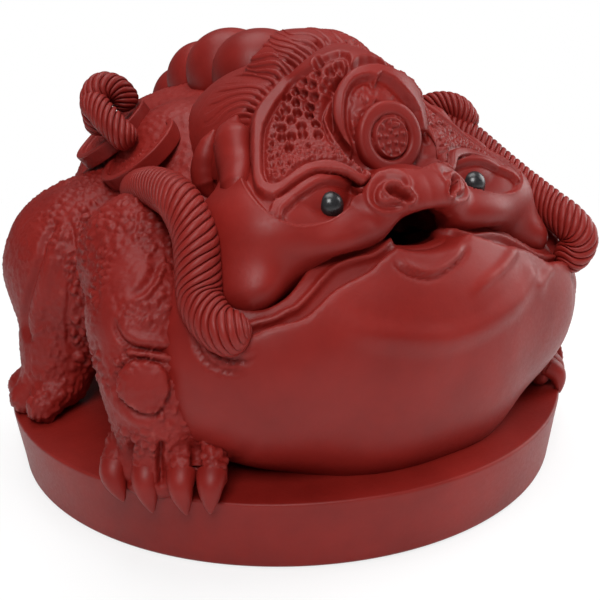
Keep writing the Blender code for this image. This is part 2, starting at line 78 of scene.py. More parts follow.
# Lumps: name, middle, half sizes, turn in degrees, squareness (2 is an egg), softness of the seam
TORSO = (
    ("trunk", (0, 12, 39), (41, 41, 37.5), (0, 0, 0), 2.1, 0),
    ("rump", (0, 33, 38), (35, 26, 36), (0, 0, 0), 2.2, 8),
    ("hip", (20, 8, 61), (13, 14, 13), (0, 0, 0), 2, 5),
    ("haunch", (36.8, 14, 40.8), (21.2, 20.8, 19.2), (0, 0, 0), 2.05, 6),
)
SACK = (
    ("sack", (0, -17, 29.5), (34, 41.2, 28.5), (0, 0, 0), 2.6, 0),
    ("flank", (0, -17, 35.5), (46, 37, 25), (0, 0, 0), 2.3, 8),
    ("sack corner", (28.5, -34.5, 34.5), (18.2, 17.4, 17), (0, 0, 0), 2, 9),
    ("chin", (0, -33.5, 44.5), (26, 15, 12.5), (0, 0, 0), 2, 6),
)
HEAD = (
    ("skull", (0, -8, 61), (25, 24, 22), (0, 0, 0), 2.4, 0),
    ("nose bridge", (0, -28.5, 61.5), (9.5, 9.5, 6), (0, 0, 0), 2, 4),
    ("cheek", (25, -31.5, 54), (12.5, 13, 10), (0, 28, 0), 2.2, 4),
    ("jowl", (31.5, -36.5, 48.8), (7.2, 9.5, 5.4), (0, 32, 0), 2, 3),
    ("upper lip", (14, -36.5, 55.6), (13.5, 10.8, 4.6), (0, 6, 0), 2.1, 3),
    ("snout", (0, -40.5, 58.8), (11, 7.2, 5.6), (0, 0, 0), 2.2, 3),
    ("brow", (17, -29, 62), (11.5, 10.5, 6), (0, 6, 0), 2.3, 2),
)
SHIELD = ((16.4, -26.8, 65.4), (17, 17.5, 6.5), (29.7, 23.5, 0), 3)
CENTRE = ((0, -21.8, 66.4), (13.5, 15.2, 17.6), (0, 0, 0), 2.4)
CREST = ((0, -9, 66.2), (16.6, 17, 22.6), (0, 0, 0), 2.5)
EYEBALL = ((17.4, -34.6, 60.6), (9.4, 7.6, 5.6), (0, -3, 0), 2)
SHOULDERS = (
    ("shoulder", (38.5, -12.5, 47), (12, 14, 13.5), (0, 0, 0), 2, 0),
    ("sole", (46, -31.5, 16), (7.6, 8.2, 4.6), (0, 0, 0), 2.3, 0),
)

# Limbs: chains of balls, each with its middle and radius
ARM = (((40, -15.5, 49.5), 10.8), ((44.5, -27, 41), 10), ((45.5, -31, 33), 9),
       ((45.6, -32, 27), 7.8), ((45.2, -31, 22.4), 7.3))
SHANK = (((44, 11.5, 37), 11.5), ((49.5, 9, 27), 7.8), ((51.5, 8.5, 20.5), 7.2))
FRONT_TOES = (
    (((47.5, -24.5, 20.5), 3.4), ((51.3, -26.6, 19.9), 2.5),
     ((53.2, -28.4, 17.8), 2.4), ((53.2, -28.4, 16), 2.2)),
    (((45, -28, 20.8), 3.6), ((48.2, -32.2, 20.8), 2.6),
     ((49.8, -34.4, 18.6), 2.5), ((49.6, -34.2, 16.4), 2.2)),
    (((41.5, -31.5, 21.3), 3.6), ((43.8, -37, 21.3), 2.7),
     ((45.4, -39.4, 19.1), 2.6), ((45.2, -39, 16.4), 2.2)),
    (((38.2, -34.5, 21.5), 3.6), ((40.4, -40.4, 21.5), 2.6),
     ((41.6, -43, 19.3), 2.5), ((41.4, -42.6, 16.4), 2.2)),
)
HIND_TOES = (
    (((51.5, 5.5, 19.8), 4.6), ((56.6, 2.4, 16.8), 3.6)),
    (((53.5, 8.8, 20), 4.6), ((58, 8.8, 16.6), 3.6)),
    (((52.5, 12, 20), 4.6), ((56.6, 15, 16.8), 3.6)),
)
CLAWS = (
    ((53.3, -28.6, 17.6), (54.5, -30.4, 15.8), (54.1, -33.3, 12)),
    ((50, -34.6, 18.3), (51.2, -36.7, 16.2), (50.9, -38.2, 11.2)),
    ((45.6, -39.7, 18.8), (47.1, -41.8, 16.8), (46.9, -43.2, 12)),
    ((41.8, -43.3, 19), (43.4, -45.4, 17.2), (44, -46.2, 12.8)),
)
CLAW_RADIUS = 2.55
CLAW_TIP_RADIUS = 0.12
CLAW_SIDES = 28
EAR_SIDES = 40
FAR_FOOT_TUCK = 3.0  # the far foot's toes lie this much nearer the middle

# The mouth and the hollow behind it
MOUTH_HALF_WIDTH = 7.6
MOUTH_HEIGHT = 54.0
MOUTH_ARCH = 4.6
MOUTH_SAG = 1.6
HOLLOW = (
    ((0, -15, 36.5), (36, 30, 16)),
    ((0, 15, 43.5), (34, 33, 23.5)),
    ((0, -13.5, 59), (15.5, 19, 15.5)),
    ((0, -32.5, 53.5), (10.5, 13.6, 6)),
)
PUPIL_RADIUS = 2.4
PUPIL_PLACE = (16.5, -41.3, 60.6)

# Lines on the face as the photograph shows them on the toad's right side, in its pixels from the top left
RIM = (
    (400, 60), (372, 48), (360.3, 45.9), (347.6, 45.3), (337.3, 46.1), (327.1, 50), (316.9, 55.5),
    (309.3, 62.1), (301.6, 68.2), (291.4, 76.1), (282.5, 81.2), (274.2, 90.8), (266.6, 99.1), (259.8, 108),
    (254.7, 116.9), (252.5, 125.9), (251.9, 145), (252.1, 157.8), (252.5, 170.5), (253.8, 184.5), (257, 193.5),
    (264.5, 199.7), (273, 201.3), (278.3, 199.7),
)
HAIR = (
    (372, 60), (354, 43), (341, 35.3), (328.4, 31.5), (314.4, 29.6), (299, 27.7), (283.8, 29.6), (273.6, 34),
    (266, 44.2), (256, 54.4), (246, 71), (237, 94), (239, 112), (262, 125), (300, 125), (340, 100),
)
BROW_LOW = (
    (278.3, 199.7), (283.7, 195.9), (291.3, 189.8), (299, 184.4), (308.1, 179.1), (315, 176.4), (322.7, 174.9),
    (331.1, 174.5), (338.8, 174.9), (344.9, 176.8), (351, 179.8), (357.1, 183.7), (361.7, 186),
)
VALLEY = (
    (373.1, 175), (364.1, 166.7), (355.2, 159), (345.6, 151.4), (338, 142.4), (332.9, 132.2), (330.7, 122),
    (329.7, 109.3), (331.2, 96.5), (335.4, 86.3), (342.4, 78), (350.1, 71), (358, 65), (380, 62),
)
SHIELD_OUTLINE = RIM + BROW_LOW[1:] + VALLEY
FIELD = (
    (349.5, 64), (347, 60), (339.9, 58.3), (329.7, 61.5), (319.5, 67.8), (309.3, 74.2), (299.1, 81.2),
    (291.4, 88.9), (283.8, 97.8), (276.1, 108), (269.7, 119.5), (264.6, 129.7), (262.7, 139.9), (262.1, 150.1),
    (262.5, 165.3), (263.4, 176.8), (266.8, 186), (272.2, 188.6), (279.1, 186.7), (286.7, 182.1),
    (295.9, 174.5), (305.1, 168.4), (314.3, 165.7), (323.5, 164.2), (331.1, 164.2), (340.3, 166.4),
    (348.7, 170.3), (356.4, 175.2), (362.5, 177.5), (364.1, 168.6), (357.8, 161.6), (347.6, 155.2),
    (338, 148.8), (330.3, 141.2), (326.5, 132.2), (324.6, 122), (326.5, 111.8), (329.1, 101.6), (332.2, 91.4),
    (338.6, 83.8), (345.6, 76.1), (350.1, 69.7),
)
ARCH_OUTER = (
    (352.7, 155.2), (346.3, 147.6), (339.9, 138.6), (335.4, 128.4), (332.9, 116.9), (332.5, 106.7),
    (333.9, 95.3), (337.3, 86.3), (342.4, 79.3), (350.1, 73.6), (357.8, 70.4), (366.7, 68.4), (376, 68.1),
    (386, 70.4), (394, 73.4), (401, 77.4), (408, 83.5), (414, 91.4), (420, 103), (425, 120), (427, 140),
)
ARCH_INNER = (
    (350.5, 142), (347.6, 134.8), (345.6, 128.4), (344.4, 116.9), (344.4, 106.7), (346.3, 95.3), (350.1, 87.6),
    (355.2, 82.5), (361.6, 79.9), (368, 79.3), (372.6, 81), (374.2, 86), (376, 80), (379.5, 77.8),
    (389.7, 82.5), (398.6, 91.4), (407.5, 101.6), (413, 112), (416, 130),
)
PITS = (
    (339.3, 71.7), (331.6, 76.1), (318.2, 78), (330.3, 85.1), (314.4, 88.2), (305.5, 85.1), (326.5, 91.4),
    (297.8, 95.3), (306.7, 97.2), (316.3, 99.7), (297.2, 106.7), (312.5, 109.9), (297.8, 117.6), (310.6, 119.5),
    (285.7, 115), (291.4, 124.6), (301.6, 131), (316.3, 128.4), (280, 122), (281.5, 133), (282.5, 142.6),
    (291.4, 141.2), (302.9, 139.3), (318.2, 139.3), (288.9, 152.7), (321, 69), (288, 102),
)
SMALL_PITS = (
    (276, 131), (273.5, 140.5), (272, 148), (271, 155.5), (271.5, 163), (272.5, 170), (274, 177), (279, 160),
    (281, 168), (283, 176), (290, 168), (308, 150), (333, 152), (341, 157), (349, 162), (283, 110), (277, 118),
)
UPPER_LID = (
    (283, 219), (284.4, 212.7), (291.3, 206.6), (299, 199), (308.1, 192.8), (315.8, 188.3), (323.5, 185.6),
    (331.1, 184.8), (338.8, 186), (345.6, 189), (351.8, 192.8), (358.6, 195.1), (363.5, 195.5),
)
CHEEK_TOP = (
    (246, 183), (250, 192.8), (253.1, 199), (259.2, 206.6), (266.8, 214.3), (275.2, 220), (284.4, 223.8),
    (294.4, 226.9), (303.6, 227.4), (315.8, 226.4), (326.5, 224.6), (336.5, 220.5), (344.9, 215), (351, 208.1),
    (354.8, 201.3), (360.9, 197.4), (365.5, 191.3), (369.9, 185.2), (375.3, 179.8), (383, 177.5),
    (392.1, 175.6), (399.8, 174.6), (409, 174.6),
)
NOSTRIL = (
    (385.2, 192.8), (387.5, 189.8), (392.1, 188.3), (396.7, 189), (402.8, 192.1), (407.4, 195.1), (411.3, 199),
    (410.5, 201.3), (405.9, 202.8), (399.8, 201.3), (393.7, 199), (389.1, 196.7),
)
NOSTRIL_CURL = (
    (402.8, 188.3), (399.8, 184.4), (392.1, 182.9), (385.2, 183.7), (379.1, 187.5), (375.7, 192.8),
    (374.5, 199), (376.4, 204.3), (383, 207.4), (392.1, 207), (399.8, 204.7),
)
LIP_LINE = (
    (210, 296), (218.4, 300), (230, 308.8), (242.5, 315.9), (255.9, 318.6), (267.5, 316.8), (278.2, 311.4),
    (287.1, 305.2), (296.1, 294.5), (305, 282), (313.9, 270.4), (320, 264.1), (330, 257), (345, 252.6),
    (360, 251), (367.7, 250.2), (375.3, 246.4), (383, 239.5), (389.1, 232), (396, 222), (408, 212.5),
    (427, 207.5), (446, 208.5),
)
JAW_LINE = (
    (120, 240), (170, 262), (200, 300), (228, 330), (245, 336), (254, 333.5), (263.9, 329.3), (269.3, 327.5),
    (278.2, 324.4), (287.1, 323), (296.1, 320.8), (305, 316.8), (313.9, 309.6), (320, 303.4), (332, 292),
    (345, 283.5), (358, 277), (370.7, 269.4), (378.4, 261.7), (386, 254.8), (392.1, 249.5), (398.3, 246.6),
    (409, 249.5), (419.7, 249.8), (430.4, 249.1), (441.1, 246.4),
)
LIP_MIDDLE = (
    (250, 326), (260.4, 323), (273.8, 319.5), (287.1, 312.3), (295.2, 308.8), (305, 299.8), (313.9, 290),
    (320, 282.9), (332, 271), (345, 264.5), (360, 260.2), (367.7, 258.6), (375.3, 255.6), (383, 249.5),
    (391, 241),
)
CHIN_CREASE = (
    (391.8, 258.3), (399.5, 267.8), (414.8, 275.5), (433.9, 277.4), (451, 267.8), (462.6, 256.4), (468.4, 241),
)
CHIN_FOLD = ((-24.1, 45.7), (-20.6, 43.4), (-16, 41.3), (-8.5, 39.6), (-2.1, 38.9), (5.1, 39.7), (13.7, 41.7),
             (20, 44.5))  # this one in millimetres across and up
BELLY_RIDGES = (
    ((512, 253.5), (500.9, 267.8), (483.7, 283), (468.4, 300)),
    ((548.7, 269.8), (541, 283), (537, 300)),
)
PLEATS = (
    ((193, 330), (197, 346), (206, 359), (219, 367.5), (236, 371), (250, 369)),
    ((206, 338), (212, 348), (222, 356.5), (236, 361), (250, 359), (259, 351)),
)

# Marks on the legs, in the same pixels
LEG_DISH = ((160, 243), (163, 251), (163.5, 262), (161, 274), (155, 286), (142, 298.5), (127, 301))
LEG_PAD = ((112.5, 316), (114.5, 326), (118.5, 336), (126, 343.5), (138, 348), (154, 350), (174, 351))
WRIST = ((128, 352.5), (150, 354.5), (174, 358.5))
FOOT_PAD = (
    (131, 359), (120.5, 366), (114.8, 376), (113, 387), (117, 398), (128, 407.8), (140, 414.6), (155, 416),
    (166, 407), (172, 391), (170, 373), (161, 363), (146, 358.5),
)
FOOT_CRESCENT = ((116, 405), (128, 417), (143, 424), (160, 424))
TOE_SLITS = (
    ((133.5, 440), (128, 452), (126, 466), (127, 482)),
    ((163.5, 439), (160.5, 450), (160, 463), (161, 482)),
    ((195, 441), (195.5, 455), (196, 466), (196, 482)),
)
LEG_SMOOTH = (((130, 275), (26, 38)), ((140, 335), (26, 15)), ((141, 386), (24, 25)),
              ((137, 419), (26, 9)), ((106, 330), (10, 60)))
THIGH_EDGE = (
    (60, 213), (51.5, 227), (43.5, 244), (41, 256), (34.5, 273), (26.5, 304), (24.5, 325), (31, 346),
)
THIGH_FRONT = ((64, 212), (71, 227), (74, 247), (68, 270), (69, 290), (67, 325), (70, 350))
BUMPY_GROOVE = (((100, 222), (30, 34)), ((78, 275), (14, 34)), ((84, 335), (18, 40)))

# Cords: strands, and the length in which they go round once; then name, slant, radius and knots of each
CORD_STRANDS = 9
CORD_LAY = 12.5
STRAND_PHASES = np.array((0, 0.05, 0.10, 0.20, 0.35, 0.5, 0.65, 0.80, 0.90, 0.95))
STRAND_PROFILE = np.array((-0.52, -0.40, -0.12, 0.02, 0.08, 0.1, 0.08, 0.02, -0.12, -0.40))
CORDS = (
    ("right_cord", 1, 3.7, (
        (-31, 6, 57.5), (-35, -3.5, 59.5), (-37.2, -13, 61.6), (-38, -21.5, 62.6), (-38.6, -29.5, 61.6),
        (-38.8, -34.6, 57.6), (-39.8, -37.4, 53.2), (-40.8, -39.6, 48.9), (-41.1, -41.8, 46.8),
        (-40.7, -44.6, 45.1), (-39.6, -46.9, 44.2), (-37.3, -49.6, 43.2),
    )),
    ("left_cord", 1, 3.6, (
        (27, -2, 68.8), (31.6, -7.5, 69.4), (34.2, -14, 67.8), (35.7, -20.5, 64.6), (37.2, -27, 60.5),
        (38.6, -34, 56.4), (39.8, -40, 53.2), (40.2, -44.8, 50.9), (40.8, -47.6, 48), (39.8, -47.4, 44.8),
        (37, -45.4, 42.6),
    )),
    ("left_bow", 1, 2.6, (
        (29.5, -4, 67.4), (31.8, -8.3, 70.9), (33.8, -12.6, 72.4), (35.6, -16.8, 71.2), (37, -19.4, 66.8),
    )),
    ("coin_bow", -1, 2.9, (
        (-34.9, 15, 68), (-35.8, 15, 72.3), (-36, 15, 75.4), (-35, 15, 77.3), (-33.6, 15, 77.9),
        (-31.7, 15, 77.5), (-30.2, 15, 76.3), (-28, 15, 73),
    )),
    ("coin_strand", 1, 2.8, (
        (-36.4, 16, 75.2), (-36.6, 13.2, 74.4), (-36.2, 10.6, 72.9), (-35.3, 8, 70.9), (-34, 6, 68.9),
        (-32.3, 4.6, 66.9),
    )),
)

# Coins: middle and the way the face looks
COIN_RADIUS = 9.3
COIN_THICKNESS = 3.3
COIN_RIM = 1.5
COIN_SINK = 0.9
COINS = (
    ("front_coin", (-31.2, 3.7, 65.2), (-0.604, 0.100, 0.786)),
    ("rear_coin", (-31.4, 17.6, 67.9), (-0.604, 0.134, 0.786)),
)

# The ring on the forehead
RING_PLACE = (0, -35.6, 69.9)
RING_TILT = 12.0
RING_HALF = (5.8, 5.35)
RING_BAND = 1.35
BOSS_RADIUS = 3.9

# Scutes on the back: middle, half sizes, lean
SCUTES = (
    ((0, 9, 78.6), (10.5, 9.5, 10.2), -12),
    ((0, 22, 78.8), (10.5, 9, 10), -20),
    ((0, 34, 76.4), (10, 8.6, 9.6), -30),
    ((0, 45, 70.6), (9.5, 8.4, 9.2), -42),
    ((0, 54, 61), (8.5, 8, 8.4), -58),
)

EAR_LOBE = (
    (-21, -18, 73.9), (-22.7, -19, 71.2), (-23.8, -21.2, 69.2), (-24.8, -23.5, 66.8), (-25.8, -25.9, 65.3),
    (-27.4, -28.6, 64.2), (-28.8, -30.3, 62.9), (-30.6, -31.7, 61.4),
)
EAR_LOBE_RADII = (0.3, 2.5, 3.3, 3.1, 2.9, 2.7, 2.4, 0.7)
EAR_LEAF = (
    (-23, -12.7, 71), (-24.2, -12.3, 68.1), (-24.8, -12.2, 66.2), (-25.1, -12, 63.8), (-25.1, -12.3, 61.4),
    (-24.6, -13.4, 58.6),
)
EAR_LEAF_RADII = (0.3, 1.9, 2.6, 3, 3, 1.2)

# The stage, in metres: half the floor's side, and how far it lies under the base
FLOOR_HALF = 3.0
FLOOR_GAP = 0.0002
LAMP_AIM = (0, 0, 0.045)
LAMPS = (  # name, place, size, power
    ("key", (-0.30, -0.42, 0.62), 0.34, 4.4),
    ("right box", (0.60, -0.10, 0.28), 0.40, 2.4),
    ("top", (0.05, 0.10, 0.75), 0.50, 3.4),
)

Lump = namedtuple("Lump", "low high distance")


def soft_min(a, b, softness):
    """The smaller of two distances, with the seam between them filled like a smoothed join."""
    if softness <= 0:
        return np.minimum(a, b)
    near = np.maximum(softness - np.abs(a - b), 0.0) / softness
    return np.minimum(a, b) - near * near * softness * 0.25


def egg(middle, half, turn=(0, 0, 0), squareness=2.0):
    """An egg-shaped lump; squareness over 2 fills its corners out."""
    axes = np.array(Euler([math.radians(angle) for angle in turn]).to_matrix())
    reach = np.abs(axes) @ np.array(half)

    def distance(x, y, z):
        x, y, z = x - middle[0], y - middle[1], z - middle[2]
        parts = [np.abs(axes[0, i] * x + axes[1, i] * y + axes[2, i] * z) / half[i] + 1e-4 for i in range(3)]
        if squareness == 2.0:
            size = np.sqrt(sum(part * part for part in parts))
        else:
            size = sum(part ** squareness for part in parts) ** (1 / squareness)
        steep = sum((part / h) ** 2 for part, h in zip(parts, half))
        slope = np.sqrt(steep / sum(part * part for part in parts))
        return (size - 1) / slope

    return Lump(np.array(middle) - reach, np.array(middle) + reach, distance)


def limb(start, start_radius, end, end_radius):
    """A rounded taper between two balls."""
    a, b = np.array(start), np.array(end)
    run = b - a
    spread = np.array([[start_radius], [end_radius]])

    def distance(x, y, z):
        x, y, z = x - a[0], y - a[1], z - a[2]
        share = np.clip((x * run[0] + y * run[1] + z * run[2]) / (run @ run), 0, 1)
        gap = np.sqrt((x - share * run[0]) ** 2 + (y - share * run[1]) ** 2 + (z - share * run[2]) ** 2)
        return gap - (start_radius + share * (end_radius - start_radius))

    ends = np.array([a, b])
    return Lump((ends - spread).min(0), (ends + spread).max(0), distance)


def opposite(lump):
    """The same lump on the other side of the toad."""
    low = np.array([-lump.high[0], lump.low[1], lump.low[2]])
    high = np.array([-lump.low[0], lump.high[1], lump.high[2]])
    return Lump(low, high, lambda x, y, z: lump.distance(-x, y, z))


class Clay:
    """A block of space that holds, at each grid point, the distance to the clay's skin. Inside is negative."""

    def __init__(self, low, high, grain):
        self.grain = grain
        self.axes = [np.arange(a, b + grain, grain, dtype=np.float32) for a, b in zip(low, high)]
        self.field = np.full([len(axis) for axis in self.axes], FAR, np.float32)

    def window(self, lump, margin):
        ends = [np.searchsorted(axis, (low - margin, high + margin))
                for axis, low, high in zip(self.axes, lump.low, lump.high)]
        if any(first == last for first, last in ends):
            return None, None
        cuts = tuple(slice(first, last) for first, last in ends)
        return cuts, np.ix_(*(axis[cut] for axis, cut in zip(self.axes, cuts)))

    def press(self, lump, softness=0.0, both_sides=True):
        """Adds a lump, and its twin on the other side."""
        for each in (lump, opposite(lump)) if both_sides else (lump,):
            cuts, grid = self.window(each, softness + 3 * self.grain)
            if cuts:
                self.field[cuts] = soft_min(self.field[cuts], each.distance(*grid).astype(np.float32), softness)

    def carve(self, lump, softness=0.0, both_sides=True):
        """Takes a lump's shape away."""
        for each in (lump, opposite(lump)) if both_sides else (lump,):
            cuts, grid = self.window(each, softness + 3 * self.grain)
            if cuts:
                there = each.distance(*grid).astype(np.float32)
                self.field[cuts] = -soft_min(-self.field[cuts], there, softness)

    def grid(self):
        return np.ix_(*self.axes)


def press_all(clay, lumps):
    """Presses a table of eggs in, each with its twin."""
    for _, middle, half, turn, squareness, softness in lumps:
        clay.press(egg(middle, half, turn, squareness), softness)


def press_limb(clay, stations, softness, first=None):
    """Presses a chain of tapers in; first is the softness of the seam where the chain starts."""
    for (start, start_radius), (end, end_radius) in zip(stations, stations[1:]):
        clay.press(limb(start, start_radius, end, end_radius), softness if first is None else first)
        first = None


def sample(values, places):
    """Reads a grid between its points."""
    top = np.array(values.shape) - 2
    corner = np.clip(np.floor(places).astype(int), 0, top)
    share = places - corner
    total = 0.0
    for step in np.ndindex(2, 2, 2):
        weight = np.prod(np.where(step, share, 1 - share), axis=1)
        total = total + weight * values[tuple((corner + step).T)]
    return total


def skin(field):
    """The zero surface of a grid as points, in cells, and four-sided faces that point outwards."""
    inside = field < 0
    cells = np.array(field.shape) - 1
    count = sum(inside[a:a + cells[0], b:b + cells[1], c:c + cells[2]].astype(np.uint8)
                for a, b, c in np.ndindex(2, 2, 2))
    crossed = (count > 0) & (count < 8)
    number = np.full(crossed.shape, -1, np.int32)
    number[crossed] = np.arange(crossed.sum())
    where = np.argwhere(crossed)
    total = np.zeros(where.shape)
    hits = np.zeros(len(where))
    faces = []
    for axis in range(3):
        step = np.eye(3, dtype=int)[axis]
        others = [other for other in range(3) if other != axis]
        for b, c in np.ndindex(2, 2):
            start = where.copy()
            start[:, others[0]] += b
            start[:, others[1]] += c
            low = field[tuple(start.T)]
            high = field[tuple((start + step).T)]
            change = (low < 0) != (high < 0)
            share = low[change] / (low[change] - high[change])
            total[change] += start[change] + share[:, None] * step
            hits[change] += 1
        low = [slice(1, -1)] * 3
        high = [slice(1, -1)] * 3
        low[axis] = slice(0, -1)
        high[axis] = slice(1, None)
        leaving = inside[tuple(low)] & ~inside[tuple(high)]
        entering = ~inside[tuple(low)] & inside[tuple(high)]
        for mask, order in ((leaving, (0, 1, 2, 3)), (entering, (3, 2, 1, 0))):
            edge = np.argwhere(mask)
            edge[:, others[0]] += 1
            edge[:, others[1]] += 1
            ring = []
            for b, c in ((1, 1), (0, 1), (0, 0), (1, 0)):
                cell = edge.copy()
                cell[:, others[0]] -= b
                cell[:, others[1]] -= c
                ring.append(number[tuple(cell.T)])
            quad = np.stack([ring[i] for i in order], axis=1)
            faces.append(quad if axis != 1 else quad[:, ::-1])
    return total / hits[:, None], np.concatenate(faces)


def relax(points, faces, rounds):
    """Evens the points out among their neighbours."""
    pairs = np.concatenate([faces[:, [a, b]] for a, b in ((0, 1), (1, 2), (2, 3), (3, 0))])
    for _ in range(rounds):
        count = len(points)
        hits = np.bincount(pairs.ravel(), minlength=count)
        sums = np.stack([np.bincount(pairs[:, 0], points[pairs[:, 1], axis], count)
                         + np.bincount(pairs[:, 1], points[pairs[:, 0], axis], count) for axis in range(3)], 1)
        points = 0.5 * points + 0.5 * sums / hits[:, None]
    return points


def harden(clay, low, high, relief):
    """Cuts the clay to a block and gives its skin, relief and all, without the buried cut faces."""
    x, y, z = clay.grid()
    block = np.maximum(np.maximum(np.maximum(low[0] - x, x - high[0]), np.maximum(low[1] - y, y - high[1])),
                       np.maximum(low[2] - z, z - high[2])).astype(np.float32)
    cut = np.maximum(clay.field, block)
    points, faces = skin(cut)
    points = relax(points, faces, 1)
    slopes = np.gradient(clay.field)
    origin = np.array([axis[0] for axis in clay.axes])
    own = sample(block, points) < -0.8 * clay.grain
    buried = ~own & (sample(clay.field, points) < -BURIED)
    used, faces = np.unique(faces[~buried[faces].all(1)], return_inverse=True)
    faces = faces.reshape(-1, 4)
    points, own = points[used], own[used]
    for _ in range(2):
        normals = np.stack([sample(slope, points) for slope in slopes], axis=1)
        steep = np.maximum((normals ** 2).sum(1), 1e-6)
        off = sample(clay.field, points)
        step = np.clip(off / steep, -0.7, 0.7) * own
        points = points - normals * step[:, None]
    normals /= np.sqrt(steep)[:, None]
    off = sample(clay.field, points)
    points = origin + points * clay.grain
    shown = np.clip(2.0 - np.abs(off), 0, 1)
    if relief:
        points = points + normals * (relief(points, normals) * shown)[:, None]
    return points, faces


def smooth_line(knots, gap=0.5):
    """A smooth curve through the knots, as close points."""
    knots = np.array(knots, float)
    knots = np.concatenate([[2 * knots[0] - knots[1]], knots, [2 * knots[-1] - knots[-2]]])
    line = []
    for a, b, c, d in zip(knots, knots[1:], knots[2:], knots[3:]):
        steps = max(2, round(float(np.linalg.norm(c - b)) / gap))
        t = np.arange(steps)[:, None] / steps
        curve = 2 * b + (c - a) * t + (2 * a - 5 * b + 4 * c - d) * t ** 2 + (3 * b - a - 3 * c + d) * t ** 3
        line.append(0.5 * curve)
    line.append(knots[-2:-1])
    return np.concatenate(line)


def near_line(flat, knots, reach, closed=False):
    """For flat points: distance to a line up to its reach, side of it and share of its length.

    In the photograph's pixels, side is 1 below a line drawn from left to right, and -1 above it.
    """
    line = np.array(knots, float) if closed else smooth_line(knots, 0.8)
    if closed:
        line = np.concatenate([line, line[:1]])
    gap = np.full(len(flat), float(reach))
    side = np.ones(len(flat))
    share = np.zeros(len(flat))
    low, high = line.min(0) - reach, line.max(0) + reach
    close = np.flatnonzero(((flat > low) & (flat < high)).all(1))
    if len(close):
        spots = flat[close]
        best = np.full(len(close), float(reach))
        for index, (a, b) in enumerate(zip(line, line[1:])):
            run = b - a
            off = spots - a
            t = np.clip((off @ run) / (run @ run), 0, 1)
            away = np.sqrt(((off - t[:, None] * run) ** 2).sum(1))
            hit = away < best
            best[hit] = away[hit]
            turn = run[0] * off[:, 1] - run[1] * off[:, 0]
            side[close[hit]] = np.where(turn[hit] >= 0, 1, -1)
            share[close[hit]] = (index + t[hit]) / (len(line) - 1)
        gap[close] = best
    return gap, side, share


def within(flat, outline, reach=12.0):
    """Signed distance to a closed outline, positive inside."""
    gap, _, _ = near_line(flat, outline, reach, closed=True)
    x, y = flat.T
    odd = np.zeros(len(flat), bool)
    for (ax, ay), (bx, by) in zip(outline, tuple(outline[1:]) + (outline[0],)):
        crosses = (ay > y) != (by > y)
        odd ^= crosses & (x < (bx - ax) * (y - ay) / (by - ay + 1e-12) + ax)
    return np.where(odd, gap, -gap)


def bell(gap, width):
    """1 on the line, fading to 0 at half the width."""
    return np.where(gap < 0.5 * width, 0.5 + 0.5 * np.cos(2 * np.pi * gap / width), 0.0)


def ramp(value, start, end):
    """0 before start, 1 after end, smooth between."""
    t = np.clip((value - start) / (end - start), 0, 1)
    return t * t * (3 - 2 * t)


def mottle(points, size, seed):
    """Soft irregular swells between -1 and 1, about one size apart."""
    lattice = np.random.default_rng(seed).random((32, 32, 32))
    places = points / size
    corner = np.floor(places).astype(int)
    share = places - corner
    share = share * share * (3 - 2 * share)
    total = 0.0
    for step in np.ndindex(2, 2, 2):
        weight = np.prod(np.where(step, share, 1 - share), axis=1)
        total = total + weight * lattice[tuple(((corner + step) % 32).T)]
    return 2 * total - 1


def pebbles(points, size, seed):
    """Rounded grains about one size across, with creases between them, from 0 to 1."""
    jitter = np.random.default_rng(seed).random((16, 16, 16, 3))
    places = points / size
    corner = np.floor(places).astype(int)
    first = np.full(len(points), 9.0)
    second = np.full(len(points), 9.0)
    for step in np.ndindex(3, 3, 3):
        cell = corner + np.array(step) - 1
        grain = cell + jitter[tuple((cell % 16).T)]
        away = np.sqrt(((places - grain) ** 2).sum(1))
        second = np.minimum(second, np.maximum(first, away))
        first = np.minimum(first, away)
    return ramp(second - first, 0.0, 0.45)


def seen(x, y, z, fold=True):
    """The photograph's pixels of these places; fold takes each to its twin on the toad's right first."""
    x = -np.abs(x) if fold else x
    away = [side - middle for side, middle in zip((x, y, z), CAMERA_PLACE)]
    across, up, deep = (sum(part * axis for part, axis in zip(away, axes))
                        for axes in (CAMERA_RIGHT, CAMERA_UP, CAMERA_LOOK))
    return PHOTO_MIDDLE + CAMERA_REACH * across / deep, PHOTO_MIDDLE - CAMERA_REACH * up / deep


def drawn(points, fold=True):
    """The photograph's pixels of a list of points."""
    return np.stack(seen(*points.T, fold), axis=1)


def pit(flat, x, y, radius):
    """A round pit with a thin standing lip: its depth and lip at these points."""
    gap = np.hypot(flat[:, 0] - x, flat[:, 1] - y)
    return 1 - ramp(gap, 0.6 * radius, radius), bell(np.abs(gap - 1.18 * radius), 0.6 * radius)


def ledge(flat, knots, height, reach, edge=1.6):
    """Raises what lies below a line drawn from left to right, falling away to nothing at its reach."""
    gap, side, _ = near_line(flat, knots, reach)
    return height * ramp(side * gap, -edge, edge) * (1 - ramp(side * gap, 0, reach))


def shield_relief(flat, points):
    """Rim, inner groove, honeycomb and grain of the brow shield."""
    plate = within(flat, SHIELD_OUTLINE, 20)
    far_side = ramp(points[:, 0], 0.0, 6.0)
    heights = (1.5 - 1.0 * far_side) * ramp(plate, -1.5, 3.0)
    field = within(flat, FIELD, 16)
    heights -= 0.85 * ramp(field, -1.5, 1.5)
    heights -= 0.35 * bell(np.abs(field - 1.5), 4.0)
    heights += 0.4 * ramp(field, 3.0, 6.0)
    low_zone = ramp(flat[:, 1] - 0.10 * (flat[:, 0] - 300), 140.0, 154.0)
    grain = pebbles(points, 0.85, 5) - 0.45
    heights += ramp(field, 2.0, 5.0) * (0.12 + 0.38 * low_zone) * grain
    pits = np.zeros(len(flat))
    lips = np.zeros(len(flat))
    for places, radius in ((PITS, 5.0), (SMALL_PITS, 2.7)):
        for x, y in places:
            hole, lip = pit(flat, x, y, radius)
            pits = np.maximum(pits, hole * radius / 5.0)
            lips = np.maximum(lips, lip)
    return heights + 0.22 * lips * (1 - pits) - 1.05 * pits


